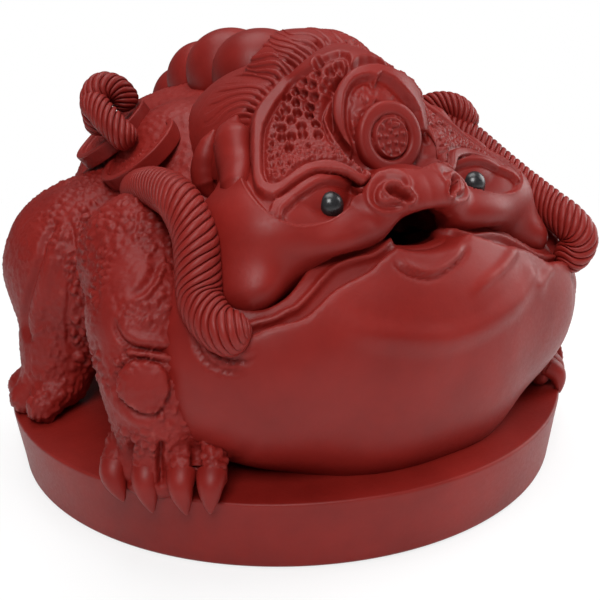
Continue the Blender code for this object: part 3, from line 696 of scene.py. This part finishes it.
def forehead_relief(flat, photo, points):
    """The arch over the ring, its sunken field and the valley round it."""
    gap, _, share = near_line(flat, VALLEY[:-1], 24.0)
    heights = -1.3 * bell(gap, 13.0) * (1 - ramp(share, 0.75, 1.0))
    band = within(photo, ARCH_OUTER + tuple(reversed(ARCH_INNER)), 20)
    heights += 1.4 * ramp(band, -1.5, 2.0)
    inner = within(photo, ARCH_INNER, 20)
    heights -= 0.5 * ramp(inner, -1.0, 1.5)
    heights += 0.6 * ramp(inner, 3.0, 7.0) * (0.5 + pebbles(points, 1.7, 8) * mottle(points, 2.2, 18))
    return heights


def hair_relief(flat):
    """Locks swept back from the rim, each with a few strands."""
    gap, side, share = near_line(flat, RIM, 52.0)
    sweep_back = share * 42 - 0.062 * gap + 0.5 * np.sin(gap / 9.0)
    strand = sweep_back % 1.0
    lock = (sweep_back / 4.6 + 0.35) % 1.0
    groove = bell(np.minimum(strand, 1 - strand), 0.62)
    parting = bell(np.minimum(lock, 1 - lock), 0.2)
    shown = ramp(side * gap, 2.0, 6.0) * (1 - ramp(share, 0.62, 0.7)) * (1 - ramp(gap, 46.0, 51.0))
    return shown * (0.25 - 0.75 * groove - 0.7 * parting)


def face_relief(points, normals):
    """Everything drawn on the front of the head."""
    flat = drawn(points)
    front = 1 - ramp(points[:, 1], -9.0, -5.0)
    facing = ramp(-(normals[:, 1] * 0.8 - np.abs(normals[:, 0]) * 0.5 - normals[:, 2] * 0.3), 0.0, 0.3)
    photo = drawn(points, fold=False)
    heights = shield_relief(flat, points) + forehead_relief(flat, photo, points) + hair_relief(flat)
    eye = within(flat, CHEEK_TOP + tuple(reversed(BROW_LOW)), 30)
    gap, side, _ = near_line(flat, UPPER_LID, 14.0)
    lid = ramp(-side * gap, -1.6, 1.6) * ramp(eye, 0.0, 2.0)
    heights += 1.0 * lid + 0.25 * bell(np.abs(-side * gap - 5.0), 7.0) * lid - 0.5 * bell(gap, 5.0)
    heights -= 0.5 * bell(near_line(flat, BROW_LOW, 8.0)[0], 5.0)
    heights += ledge(flat, CHEEK_TOP, 1.3, 60.0)
    heights += 0.3 * bell(near_line(flat, CHEEK_TOP, 8.0)[0], 6.0)
    hole = within(flat, NOSTRIL, 12)
    heights += 0.45 * bell(np.abs(hole + 1.8), 5.0) - 2.2 * ramp(hole, -0.8, 3.2)
    gap, _, _ = near_line(flat, NOSTRIL_CURL, 12.0)
    heights += 0.25 * bell(np.abs(gap - 5.5), 7.0) - 0.6 * bell(gap, 7.0)
    return front * facing * heights + 0.05 * mottle(points, 4.0, 3)


def belly_relief(points, normals):
    """Soft folds on the sack and the crease under the mouth."""
    front = 1 - ramp(points[:, 1], -24.0, -16.0)
    heights = 0.12 * mottle(points, 9.0, 4) + 0.03 * mottle(points, 2.5, 6)
    photo = drawn(points, fold=False)
    gap, side, share = near_line(photo, CHIN_CREASE, 20.0)
    ends = ramp(share, 0.0, 0.15) * (1 - ramp(share, 0.85, 1.0))
    heights += front * ends * (0.5 * bell(np.abs(-side * gap - 6.0), 12.0) - 0.75 * bell(gap, 6.5))
    for knots in BELLY_RIDGES:
        gap, _, share = near_line(photo, knots, 16.0)
        heights += front * 0.75 * bell(gap, 17.0) * (1 - ramp(share, 0.5, 1.0))
    gap, _, share = near_line(points[:, [0, 2]], CHIN_FOLD, 9.0)
    heights += front * 0.8 * bell(gap, 7.0) * ramp(share, 0, 0.2)
    folded = drawn(points)
    for knots in PLEATS:
        gap, _, share = near_line(folded, knots, 12.0)
        heights -= front * 0.9 * bell(gap, 9.0) * ramp(share, 0.0, 0.2) * (1 - ramp(share, 0.7, 1.0))
    return heights


def spots(flat, places):
    """1 inside any of these ovals (middle, half sizes), fading to 0 at their edges."""
    shown = np.zeros(len(flat))
    for middle, half in places:
        away = np.hypot((flat[:, 0] - middle[0]) / half[0], (flat[:, 1] - middle[1]) / half[1])
        shown = np.maximum(shown, 1 - ramp(away, 0.6, 1.0))
    return shown


def leg_relief(points, normals):
    """Pebbled skin on the front legs, with a dished pad, a round pad on the foot and creases at the wrist."""
    flat = drawn(points)
    outer = ramp(np.abs(normals[:, 0]) - normals[:, 1], 0.0, 0.3)
    gap, side, share = near_line(flat, LEG_DISH, 26.0)
    marks = (0.55 * bell(gap, 7.0) - 0.75 * bell(np.abs(side * gap - 8.5), 15.0)) * ramp(share, 0.0, 0.25) * (
        1 - ramp(share, 0.85, 1.0))
    gap, side, share = near_line(flat, LEG_PAD, 26.0)
    marks += (0.45 * bell(np.abs(-side * gap - 9.0), 16.0) - 1.0 * bell(gap, 8.0)) * ramp(share, 0.0, 0.2)
    gap, _, _ = near_line(flat, WRIST, 14.0)
    marks += 0.45 * bell(gap, 6.0) - 0.7 * bell(np.abs(gap - 5.0), 5.0)
    pad = within(flat, FOOT_PAD, 20.0)
    marks += 0.6 * ramp(pad, -1.0, 6.0) - 0.9 * bell(np.abs(pad), 6.0)
    gap, _, share = near_line(flat, FOOT_CRESCENT, 14.0)
    marks += 0.5 * bell(gap, 13.0) * bell(np.abs(share - 0.5), 1.1)
    for knots in TOE_SLITS:
        gap, _, share = near_line(flat, knots, 10.0)
        marks -= 1.9 * bell(gap, 12.0) * ramp(share, 0.0, 0.25)
    smooth = spots(flat, LEG_SMOOTH)
    rough = (1 - 0.8 * smooth) * ramp(points[:, 2], 14.0, 18.0)
    grain = 0.62 * (pebbles(points, 1.7, 21) - 0.5) * ramp(mottle(points, 6.0, 27), -0.5, 0.3)
    grain += 0.22 * (pebbles(points, 0.85, 22) - 0.5)
    return outer * marks + rough * grain + 0.12 * mottle(points, 4.0, 7) + 0.05 * mottle(points, 1.4, 28)


def back_relief(points, normals):
    """Low swells and pebbled skin."""
    return (0.35 * mottle(points, 7.0, 14) + 0.3 * (pebbles(points, 1.7, 25) - 0.5)
            + 0.1 * (pebbles(points, 0.9, 26) - 0.5))


def haunch_relief(points, normals):
    """The band down the front of each thigh, its creases, and round bumps in the groove beside the front leg.

    Near the back it fades into the back's own relief, so that no seam shows.
    """
    flat = drawn(points)
    outer = ramp(np.abs(normals[:, 0]) - 0.4 * normals[:, 1], 0.0, 0.3)
    gap, side, share = near_line(flat, THIGH_EDGE, 34.0)
    ends = ramp(share, 0.0, 0.12) * (1 - ramp(share, 0.9, 1.0))
    marks = (0.7 * bell(np.abs(-side * gap - 12.0), 22.0) - 1.1 * bell(gap, 12.0)) * ends
    gap, _, share = near_line(flat, THIGH_FRONT, 16.0)
    marks -= 0.5 * bell(gap, 8.0) * ramp(share, 0.0, 0.12) * (1 - ramp(share, 0.9, 1.0))
    bumpy = spots(flat, BUMPY_GROOVE)
    rough = ramp(mottle(points, 7.0, 12), -0.2, 0.4)
    grain = bumpy * 1.1 * (pebbles(points, 2.0, 29) - 0.5)
    grain += (1 - bumpy) * rough * 0.5 * (pebbles(points, 1.7, 23) - 0.5)
    grain += 0.16 * (pebbles(points, 0.9, 24) - 0.5)
    heights = outer * marks + grain + 0.25 * mottle(points, 6.0, 9) + 0.05 * mottle(points, 1.4, 30)
    own = ramp(np.abs(points[:, 0]), 33.0, 39.0)
    return own * heights + (1 - own) * back_relief(points, normals)


def mouth_bar():
    """The mouth's hole: an arch over a shallow sag, running straight back."""
    def distance(x, y, z):
        up = z - MOUTH_HEIGHT
        tall = np.where(up > 0, MOUTH_ARCH, MOUTH_SAG)
        round_mouth = (np.sqrt((x / MOUTH_HALF_WIDTH) ** 2 + (up / tall) ** 2) - 1) * 4.0
        return np.maximum(round_mouth, y + 22.0)
    return Lump(np.array([-8.0, -62.0, 50.0]), np.array([8.0, -20.0, 61.0]), distance)


def empty(clay):
    """Takes the inside out through the mouth."""
    for middle, half in HOLLOW:
        clay.carve(egg(middle, half), 0.0, both_sides=False)
    clay.carve(mouth_bar(), 0.5, both_sides=False)


class Stencil:
    """Signed distances in mm to an outline of the photograph, positive inside, kept on a fine raster."""

    def __init__(self, outline, reach=60.0, step=0.8):
        flat = np.array(outline)
        self.low, self.step = flat.min(0) - reach, step
        size = np.ceil((flat.max(0) + reach - self.low) / step).astype(int)
        grid = np.stack(np.meshgrid(*(np.arange(n) * step for n in size), indexing="ij"), -1).reshape(-1, 2)
        self.values = (within(grid + self.low, outline, reach) / PX).reshape(size)

    def read(self, u, v):
        u, v = (u - self.low[0]) / self.step, (v - self.low[1]) / self.step
        i = np.clip(u.astype(int), 0, self.values.shape[0] - 2)
        j = np.clip(v.astype(int), 0, self.values.shape[1] - 2)
        u, v = np.clip(u - i, 0, 1), np.clip(v - j, 0, 1)
        four = self.values
        return ((1 - u) * ((1 - v) * four[i, j] + v * four[i, j + 1])
                + u * ((1 - v) * four[i + 1, j] + v * four[i + 1, j + 1]))


def cut_out(lump, stencil):
    """The part of a lump that lies inside an outline of the photograph."""
    def distance(x, y, z):
        return np.maximum(lump.distance(x, y, z), -stencil.read(*seen(x, y, z)))
    return Lump(lump.low, lump.high, distance)


def above(clay, line):
    """How far each grid point lies above a line of the photograph, in mm."""
    x, y, z = clay.grid()
    u, v = seen(x, y, z)
    knots = smooth_line(line, 3.0)
    return ((np.interp(u, *knots.T) - v) / PX).astype(np.float32)


def model_head(clay):
    press_all(clay, HEAD)
    clay.press(cut_out(egg(*CREST), Stencil(HAIR)), 0.5)
    clay.press(egg(*CENTRE), 1.5)
    clay.press(cut_out(egg(*SHIELD), Stencil(SHIELD_OUTLINE)), 1.5)
    clay.press(egg(*EYEBALL), 0.5)
    clay.field = -soft_min(-clay.field, above(clay, LIP_LINE), 1.2)
    empty(clay)


def model_sack(clay):
    press_all(clay, SACK)
    clay.field = -soft_min(-clay.field, -above(clay, JAW_LINE), 0.7)
    empty(clay)


def model_lining(clay):
    """The soft lip between upper lip and jaw, set back in the gap between them."""
    press_all(clay, SACK)
    press_all(clay, HEAD)
    clay.field += 2.6
    clay.field = np.maximum(clay.field, np.maximum(above(clay, LIP_LINE) - 1.5, -above(clay, JAW_LINE) - 1.5))
    empty(clay)


def lining_relief(points, normals):
    """A soft roll along the middle of the gap."""
    gap, _, _ = near_line(drawn(points), LIP_MIDDLE, 14.0)
    return 1.1 * bell(gap, 12.0)


def model_torso(clay):
    press_all(clay, TORSO)
    press_limb(clay, SHANK, 3.0, first=5.0)
    for toe in HIND_TOES:
        press_limb(clay, toe, 1.0)
    empty(clay)


def model_front_legs(clay, tuck=0.0):
    press_all(clay, SHOULDERS)
    press_limb(clay, ARM, 3.5)
    for toe in FRONT_TOES:
        press_limb(clay, [((x - tuck, y, z), radius) for (x, y, z), radius in toe], 0.7)


def model_far_leg(clay):
    model_front_legs(clay, FAR_FOOT_TUCK)


def sculpt(name, model, low, high, grain, relief, material):
    """One block of the clay figure as a piece."""
    margin = 3 * grain
    clay = Clay([value - margin for value in low], [value + margin for value in high], grain)
    model(clay)
    points, faces = harden(clay, low, high, relief)
    return new_piece(name, points, faces.tolist(), material)


def new_piece(name, points, faces, material, sharp=None):
    mesh = bpy.data.meshes.new(name)
    mesh.from_pydata((np.asarray(points) * MM).tolist(), [], faces)
    mesh.materials.append(material)
    mesh.shade_smooth()
    if sharp:
        mesh.set_sharp_from_angle(angle=math.radians(sharp))
    piece = bpy.data.objects.new(name, mesh)
    bpy.context.scene.collection.objects.link(piece)
    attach(piece, "root")
    return piece


def tube_faces(rings, sides):
    """Faces of a skin of rings with a pole at each end; the poles come last."""
    faces = []
    for ring in range(rings - 1):
        for side in range(sides):
            here, there = ring * sides, (ring + 1) * sides
            after = (side + 1) % sides
            faces.append((here + side, here + after, there + after, there + side))
    first, last = rings * sides, rings * sides + 1
    for side in range(sides):
        after = (side + 1) % sides
        faces.append((side, first, after))
        faces.append(((rings - 1) * sides + side, (rings - 1) * sides + after, last))
    return faces


def sweep(line, section, angles, up=(0.0, 0.0, 1.0), twist=0.0):
    """A closed skin round a line.

    section(along, length) gives each ring's distances from the line, its width and height; twist turns them.
    """
    runs = np.gradient(line, axis=0)
    runs /= np.linalg.norm(runs, axis=1)[:, None]
    along = np.concatenate([[0.0], np.cumsum(np.linalg.norm(np.diff(line, axis=0), axis=1))])
    side = np.cross(runs[0], up)
    side /= np.linalg.norm(side)
    points = []
    for place, run, here in zip(line, runs, along):
        side = side - run * (side @ run)
        side /= np.linalg.norm(side)
        other = np.cross(run, side)
        reach, wide, tall = section(here, along[-1])
        turned = angles + twist * here
        points.append(place + reach[:, None] * (np.cos(turned)[:, None] * side * wide
                                                + np.sin(turned)[:, None] * other * tall))
    points = np.concatenate(points + [line[:1], line[-1:]])
    return points, tube_faces(len(line), len(angles))


def even(sides):
    """Angles spaced evenly round a circle."""
    return np.linspace(0, 2 * np.pi, sides, endpoint=False)


def domed(here, length, radius):
    """How far a round end narrows the section."""
    edge = min(here, length - here) / radius
    return math.sqrt(max(0.0, 1 - (1 - min(edge, 1.0)) ** 2)) + 0.02


def make_cord(name, slant, radius, knots, material):
    """A laid cord: the columns of its skin follow the strands, so the grooves between them stay crisp."""
    line = smooth_line(knots, 0.4 * COARSE)
    starts = np.repeat(np.arange(CORD_STRANDS), len(STRAND_PHASES))
    angles = (starts + np.tile(STRAND_PHASES, CORD_STRANDS)) * 2 * np.pi / CORD_STRANDS
    relief = np.tile(STRAND_PROFILE, CORD_STRANDS)

    def section(here, length):
        end = domed(here, length, radius)
        return radius * end + relief * min(1.0, end), 1.0, 1.0

    points, faces = sweep(line, section, angles, twist=slant * 2 * np.pi / CORD_LAY)
    points = points + 0.06 * mottle(points, 2.0, 31)[:, None]
    return new_piece(name, points, faces, material)


def make_claw(name, side, knots, material):
    tuck = FAR_FOOT_TUCK if side > 0 else 0.0
    knots = [(side * (x - tuck), y, z) for x, y, z in knots]
    line = smooth_line(knots, 0.3)

    def section(here, length):
        share = here / length
        radius = CLAW_RADIUS * (1 - share ** 1.7) ** 0.8 + CLAW_TIP_RADIUS
        return np.full(CLAW_SIDES, radius * min(1.0, 0.4 + here)), 1.0, 0.9

    points, faces = sweep(line, section, even(CLAW_SIDES))
    return new_piece(name, points, faces, material)


def make_ear(name, side, knots, radii, wide, tall, material):
    line = smooth_line([(side * -x, y, z) for x, y, z in knots], 0.4)
    stations = np.linspace(0, 1, len(radii))

    def section(here, length):
        return np.full(EAR_SIDES, np.interp(here / length, stations, radii)), wide, tall

    points, faces = sweep(line, section, even(EAR_SIDES), up=(1.0, 0.0, 0.0))
    return new_piece(name, points + 0.08 * mottle(points, 3.0, 35)[:, None], faces, material)


def turned(outline, steps):
    """A solid of revolution about Z from (radius, height) points, from the top's middle to the underside's."""
    outline = np.array(outline)
    angles = even(steps)
    rings = outline[1:-1]
    points = [np.stack([r * np.cos(angles), r * np.sin(angles), np.full(steps, z)], axis=1) for r, z in rings]
    points.append(np.array([[0.0, 0.0, outline[0, 1]], [0.0, 0.0, outline[-1, 1]]]))
    faces = [face[::-1] for face in tube_faces(len(rings), steps)]
    return np.concatenate(points), faces


def rounded_outline(corners, spacing):
    """Points along the runs between corners (radius, height, corner radius), with an arc where it is rounded."""
    outline = []
    for index, (r, z, bend) in enumerate(corners):
        here = np.array([r, z])
        if bend <= 0:
            outline.append(here)
            continue
        before = np.array(corners[index - 1][:2]) - here
        after = np.array(corners[index + 1][:2]) - here
        a = here + before / np.linalg.norm(before) * bend
        b = here + after / np.linalg.norm(after) * bend
        for t in np.linspace(0, 1, 7):
            outline.append((1 - t) ** 2 * a + 2 * t * (1 - t) * here + t * t * b)
    fine = [outline[0]]
    for a, b in zip(outline, outline[1:]):
        steps = max(1, int(np.linalg.norm(b - a) / spacing))
        fine += [a + (b - a) * t for t in np.arange(1, steps + 1) / steps]
    return fine


def make_base(material):
    corners = ((0, BASE_HEIGHT, 0), (BASE_TOP_RADIUS, BASE_HEIGHT, 0.7), (BASE_RADIUS, 0, 0.9), (0, 0, 0))
    points, faces = turned(rounded_outline(corners, 3.0 * COARSE), int(300 / COARSE))
    away = np.hypot(points[:, 0], points[:, 1])[:, None]
    outward = np.where(away > 1, points * (1, 1, 0) / np.maximum(away, 1), 0)
    edge = ramp(away[:, 0], 56.0, 60.0) * ramp(points[:, 2], 0.2, 2.0)
    points = points + outward * (edge * 0.14 * mottle(points, 11.0, 41))[:, None]
    points[:, 2] += edge * 0.06 * mottle(points, 7.0, 42) * ramp(points[:, 2], 8, 13)
    return new_piece("base", points, faces, material, sharp=50)


def make_coin(name, middle, normal, material):
    top = 0.5 * COIN_THICKNESS
    field = COIN_RADIUS - COIN_RIM
    corners = ((0.0, top - COIN_SINK, 0), (field - 0.2, top - COIN_SINK, 0.25), (field, top, 0.3),
               (COIN_RADIUS, top, 0.4), (COIN_RADIUS - 0.15, -top, 0.4), (0.0, -top, 0))
    points, faces = turned(rounded_outline(corners, 0.38 * COARSE), int(128 / COARSE))
    away = np.hypot(points[:, 0], points[:, 1])
    grainy = (1 - ramp(away, field - 1.2, field - 0.4)) * (points[:, 2] > 0)
    points[:, 2] += grainy * (0.3 * (pebbles(points, 0.9, 51) - 0.5) + 0.12 * mottle(points, 0.8, 52))
    turn = Vector(normal).to_track_quat("Z", "Y").to_matrix()
    points = points @ np.array(turn).T + np.array(middle)
    return new_piece(name, points + 0.1 * mottle(points, 4.0, 53)[:, None], faces, material, sharp=50)


def make_ring(material):
    """The flat oval band on the forehead."""
    angles = even(int(120 / COARSE))
    sides = 24
    around = even(sides)
    flat_round = (np.abs(np.cos(around)) ** 5 + np.abs(np.sin(around)) ** 5) ** (-1 / 5)
    out = RING_BAND * flat_round * np.cos(around)
    lift = 1.9 * flat_round * np.sin(around)
    points = []
    for angle in angles:
        middle = np.array([RING_HALF[0] * math.cos(angle), 0.0, RING_HALF[1] * math.sin(angle)])
        away = np.array([math.cos(angle), 0.0, math.sin(angle)])
        points.append(middle + out[:, None] * away + lift[:, None] * np.array([0.0, 1.0, 0.0]))
    points = np.concatenate(points)
    faces = []
    for ring in range(len(angles)):
        for side in range(sides):
            here, there = ring * sides, (ring + 1) % len(angles) * sides
            after = (side + 1) % sides
            faces.append((here + side, here + after, there + after, there + side))
    return new_piece("forehead_ring", on_forehead(points, 0.0), faces, material)


def on_forehead(points, sink):
    """Tilts and moves what was made about the origin to the ring's place."""
    tilt = np.array(Matrix.Rotation(math.radians(-RING_TILT), 3, "X"))
    return (points + np.array([0.0, sink, 0.0])) @ tilt.T + np.array(RING_PLACE)


def make_boss(material):
    """The low boss inside the ring, with a plain beaded rosette."""
    corners = ((0.0, 1.2, 0), (BOSS_RADIUS, 1.2, 0.5), (BOSS_RADIUS + 0.2, -1.6, 0), (0.0, -1.6, 0))
    points, faces = turned(rounded_outline(corners, 0.22 * COARSE), int(130 / COARSE))
    flat = points[:, :2]
    away = np.hypot(*flat.T)
    relief = 0.35 * bell(np.abs(away - BOSS_RADIUS + 0.45), 0.8)
    for count, radius, size in ((9, 2.75, 1.5), (5, 1.25, 1.3)):
        for number in range(count):
            angle = 2 * np.pi * (number + 0.3) / count
            spot = np.hypot(flat[:, 0] - radius * math.cos(angle), flat[:, 1] - radius * math.sin(angle))
            relief += 0.45 * bell(spot, size)
    points[:, 2] += relief * (points[:, 2] > 1.0)
    points = points[:, [0, 2, 1]] * np.array([1.0, -1.0, 1.0])
    return new_piece("forehead_boss", on_forehead(points, -0.4), faces, material)


def ball(middle, half, turn, squareness, rows, columns):
    """An egg as rings about its own Z."""
    heights = np.linspace(0, np.pi, rows + 2)[1:-1]
    angles = even(columns)
    unit = np.array([(math.sin(h) * math.cos(a), math.sin(h) * math.sin(a), math.cos(h))
                     for h in heights for a in angles] + [(0, 0, 1), (0, 0, -1)])
    unit /= ((np.abs(unit) ** squareness).sum(1) ** (1 / squareness))[:, None]
    axes = np.array(Euler([math.radians(angle) for angle in turn]).to_matrix())
    faces = [face[::-1] for face in tube_faces(rows, columns)]
    return (unit * np.array(half)) @ axes.T + np.array(middle), faces


def make_scute(number, middle, half, lean, material):
    points, faces = ball(middle, half, (lean, 0, 0), 2.25, int(50 / COARSE), int(68 / COARSE))
    points = points + 0.12 * mottle(points, 6.0, 61)[:, None]
    return new_piece(f"scute_{number + 1}", points, faces, material)


def make_pupil(name, side, material):
    x, y, z = PUPIL_PLACE
    points, faces = ball((side * x, y, z), (PUPIL_RADIUS,) * 3, (80, 0, 0), 2.1, 40, 56)
    points = points + 0.05 * mottle(points, 1.6, 71)[:, None]
    return new_piece(name, points, faces, material)


def srgb(text):
    """A hex colour as linear values."""
    parts = [int(text[i:i + 2], 16) / 255 for i in (0, 2, 4)]
    return tuple(p / 12.92 if p <= 0.04045 else ((p + 0.055) / 1.055) ** 2.4 for p in parts) + (1.0,)


def add(tree, kind, links=(), **settings):
    """One node: settings by input name or by property, links as (input, output socket)."""
    node = tree.nodes.new(kind)
    for key, value in settings.items():
        name = key.replace("_", " ")
        if key in node.bl_rna.properties.keys():
            setattr(node, key, value)
        else:
            node.inputs[name].default_value = value
    for name, source in links:
        tree.links.new(source, node.inputs[name])
    return node


def new_material(name):
    material = bpy.data.materials.new(name)
    material.use_nodes = True
    material.node_tree.nodes.clear()
    return material, material.node_tree


def red_stoneware(name, sheen, grain):
    """Unglazed zisha-like red clay: dense, matt to satin, a shade paler where it was rubbed."""
    material, tree = new_material(name)
    place = add(tree, "ShaderNodeTexCoord").outputs["Object"]
    cloud = add(tree, "ShaderNodeTexNoise", [("Vector", place)], Scale=55.0, Detail=4.0, Roughness=0.6)
    speck = add(tree, "ShaderNodeTexNoise", [("Vector", place)], Scale=1400.0, Detail=3.0, Roughness=0.7)
    tone = add(tree, "ShaderNodeValToRGB", [("Fac", cloud.outputs["Fac"])])
    tone.color_ramp.elements[0].position = 0.3
    tone.color_ramp.elements[0].color = srgb("6f140f")
    tone.color_ramp.elements[1].position = 0.72
    tone.color_ramp.elements[1].color = srgb("831d17")
    edge = add(tree, "ShaderNodeNewGeometry")
    worn = add(tree, "ShaderNodeMapRange", [("Value", edge.outputs["Pointiness"])],
               From_Min=0.52, From_Max=0.62, To_Min=0.0, To_Max=0.35)
    rubbed = add(tree, "ShaderNodeMix", [("Factor", worn.outputs["Result"]), ("A", tone.outputs["Color"])],
                 data_type="RGBA")
    rubbed.inputs[7].default_value = srgb("98403a")
    tree.links.new(tone.outputs["Color"], rubbed.inputs[6])
    gloss = add(tree, "ShaderNodeMapRange", [("Value", speck.outputs["Fac"])],
                From_Min=0.3, From_Max=0.7, To_Min=sheen - 0.05, To_Max=sheen + 0.07)
    bump = add(tree, "ShaderNodeBump", [("Height", speck.outputs["Fac"])], Strength=grain, Distance=0.0002)
    shader = add(tree, "ShaderNodeBsdfPrincipled",
                 [("Base Color", rubbed.outputs[2]), ("Roughness", gloss.outputs["Result"]),
                  ("Normal", bump.outputs["Normal"])], IOR=1.5, Specular_IOR_Level=0.24)
    add(tree, "ShaderNodeOutputMaterial", [("Surface", shader.outputs["BSDF"])])
    return material


def black_bead():
    """Polished black clay: nearly black, glossy with faint scratches."""
    material, tree = new_material("polished_black_clay")
    place = add(tree, "ShaderNodeTexCoord").outputs["Object"]
    haze = add(tree, "ShaderNodeTexNoise", [("Vector", place)], Scale=900.0, Detail=3.0)
    tone = add(tree, "ShaderNodeValToRGB", [("Fac", haze.outputs["Fac"])])
    tone.color_ramp.elements[0].color = srgb("141315")
    tone.color_ramp.elements[1].color = srgb("2a292b")
    gloss = add(tree, "ShaderNodeMapRange", [("Value", haze.outputs["Fac"])],
                From_Min=0.3, From_Max=0.7, To_Min=0.24, To_Max=0.34)
    shader = add(tree, "ShaderNodeBsdfPrincipled",
                 [("Base Color", tone.outputs["Color"]), ("Roughness", gloss.outputs["Result"])], IOR=1.5)
    add(tree, "ShaderNodeOutputMaterial", [("Surface", shader.outputs["BSDF"])])
    return material


def pale_floor():
    material, tree = new_material("pale_paper")
    place = add(tree, "ShaderNodeTexCoord").outputs["Object"]
    grain = add(tree, "ShaderNodeTexNoise", [("Vector", place)], Scale=30.0, Detail=2.0)
    tone = add(tree, "ShaderNodeValToRGB", [("Fac", grain.outputs["Fac"])])
    tone.color_ramp.elements[0].color = srgb("f4f4f4")
    tone.color_ramp.elements[1].color = srgb("fbfbfb")
    matt = add(tree, "ShaderNodeBsdfDiffuse", [("Color", tone.outputs["Color"])])
    white = add(tree, "ShaderNodeEmission", Strength=1.0)
    away = add(tree, "ShaderNodeVectorMath", [("Vector", place)], operation="LENGTH")
    share = add(tree, "ShaderNodeMapRange", [("Value", away.outputs["Value"])],
                From_Min=0.08, From_Max=0.30, To_Min=0.72, To_Max=1.0)
    rays = add(tree, "ShaderNodeLightPath")
    part = add(tree, "ShaderNodeMath", [("Value", rays.outputs["Is Camera Ray"])], operation="MULTIPLY")
    tree.links.new(share.outputs["Result"], part.inputs[1])
    mix = add(tree, "ShaderNodeMixShader", [("Fac", part.outputs["Value"])])
    tree.links.new(matt.outputs["BSDF"], mix.inputs[1])
    tree.links.new(white.outputs["Emission"], mix.inputs[2])
    add(tree, "ShaderNodeOutputMaterial", [("Surface", mix.outputs["Shader"])])
    return material


def set_the_stage():
    """Floor, world, lamps and the photograph's camera."""
    scene = bpy.context.scene
    scene.view_settings.view_transform = "Standard"
    floor = bpy.data.meshes.new("floor")
    corners = [(x * FLOOR_HALF, y * FLOOR_HALF, -FLOOR_GAP) for x, y in ((-1, -1), (1, -1), (1, 1), (-1, 1))]
    floor.from_pydata(corners, [], [(0, 1, 2, 3)])
    floor.materials.append(pale_floor())
    stand = bpy.data.objects.new("floor", floor)
    scene.collection.objects.link(stand)

    world = bpy.data.worlds.new("studio")
    scene.world = world
    world.use_nodes = True
    tree = world.node_tree
    tree.nodes.clear()
    soft = add(tree, "ShaderNodeBackground", Strength=0.14)
    white = add(tree, "ShaderNodeBackground", Strength=1.0)
    for each in (soft, white):
        each.inputs["Color"].default_value = (1, 1, 1, 1)
    rays = add(tree, "ShaderNodeLightPath")
    mix = add(tree, "ShaderNodeMixShader", [("Fac", rays.outputs["Is Camera Ray"])])
    tree.links.new(soft.outputs["Background"], mix.inputs[1])
    tree.links.new(white.outputs["Background"], mix.inputs[2])
    add(tree, "ShaderNodeOutputWorld", [("Surface", mix.outputs["Shader"])])

    for name, place, size, power in LAMPS:
        lamp = bpy.data.lights.new(name, "AREA")
        lamp.energy = power
        lamp.size = size
        thing = bpy.data.objects.new(name, lamp)
        thing.location = place
        aim = Vector(LAMP_AIM) - Vector(place)
        thing.rotation_euler = aim.to_track_quat("-Z", "Y").to_euler()
        scene.collection.objects.link(thing)

    camera = bpy.data.cameras.new("photo")
    camera.lens = CAMERA_LENS
    camera.sensor_width = SENSOR_WIDTH
    camera.clip_start = 0.01
    eye = bpy.data.objects.new("photo", camera)
    right, up = Vector(CAMERA_RIGHT), Vector(CAMERA_UP)
    turn = Matrix((right, up, right.cross(up))).transposed().to_4x4()
    turn.translation = Vector(CAMERA_PLACE) * MM
    eye.matrix_world = turn
    scene.collection.objects.link(eye)
    scene.camera = eye


def main():
    set_the_stage()
    satin = red_stoneware("burnished_red_stoneware", sheen=0.45, grain=0.12)
    matt = red_stoneware("pebbled_red_stoneware", sheen=0.50, grain=0.35)
    pieces = [
        sculpt("forehead", model_head, (-30, -47, 62.0), (30, -4, 90), SHIELD_GRAIN, face_relief, satin),
        sculpt("face", model_head, (-43, -50, 42), (43, -16, 63.4), FACE_GRAIN, face_relief, satin),
        sculpt("skull", model_head, (-30, -18, 50), (30, 16, 90), BELLY_GRAIN, None, matt),
        sculpt("sack", model_sack, (-52, -60, 6), (52, 10, 60), BELLY_GRAIN, belly_relief, satin),
        sculpt("inner_lip", model_lining, (-45, -56, 38), (45, -24, 62), LIP_GRAIN, lining_relief, satin),
        sculpt("back", model_torso, (-34, -30, 45), (34, 62, 80), BACK_GRAIN, back_relief, matt),
        sculpt("rump", model_torso, (-35, -30, 4), (35, 62, 48), RUMP_GRAIN, back_relief, matt),
        sculpt("thigh_right", model_torso, (-64, -14, 12), (-31.5, 44, 66), LEG_GRAIN, haunch_relief, matt),
        sculpt("thigh_left", model_torso, (31.5, -14, 12), (64, 44, 66), FAR_GRAIN, haunch_relief, matt),
        sculpt("arm_right", model_front_legs, (-64, -46, 12), (-24, 6, 63), LEG_GRAIN, leg_relief, matt),
        sculpt("arm_left", model_far_leg, (24, -46, 12), (64, 6, 63), FAR_GRAIN, leg_relief, matt),
        make_base(satin),
        make_ring(satin),
        make_boss(satin),
    ]
    pieces += [make_cord(name, slant, radius, knots, satin) for name, slant, radius, knots in CORDS]
    pieces += [make_coin(name, middle, normal, matt) for name, middle, normal in COINS]
    pieces += [make_scute(number, *scute, satin) for number, scute in enumerate(SCUTES)]
    for label, side in (("left", 1), ("right", -1)):
        for number, knots in enumerate(CLAWS):
            pieces.append(make_claw(f"claw_{label}_{number + 1}", side, knots, satin))
        pieces.append(make_ear(f"ear_lobe_{label}", side, EAR_LOBE, EAR_LOBE_RADII, 1.3, 1.0, satin))
        pieces.append(make_ear(f"ear_leaf_{label}", side, EAR_LEAF, EAR_LEAF_RADII, 0.9, 0.9, satin))
    for piece in pieces:
        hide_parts("toad_body")
    bead = black_bead()
    for name, side in (("left", 1), ("right", -1)):
        pupil = make_pupil(f"bead_{name}", side, bead)
        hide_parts(f"pupil_{name}")


main()
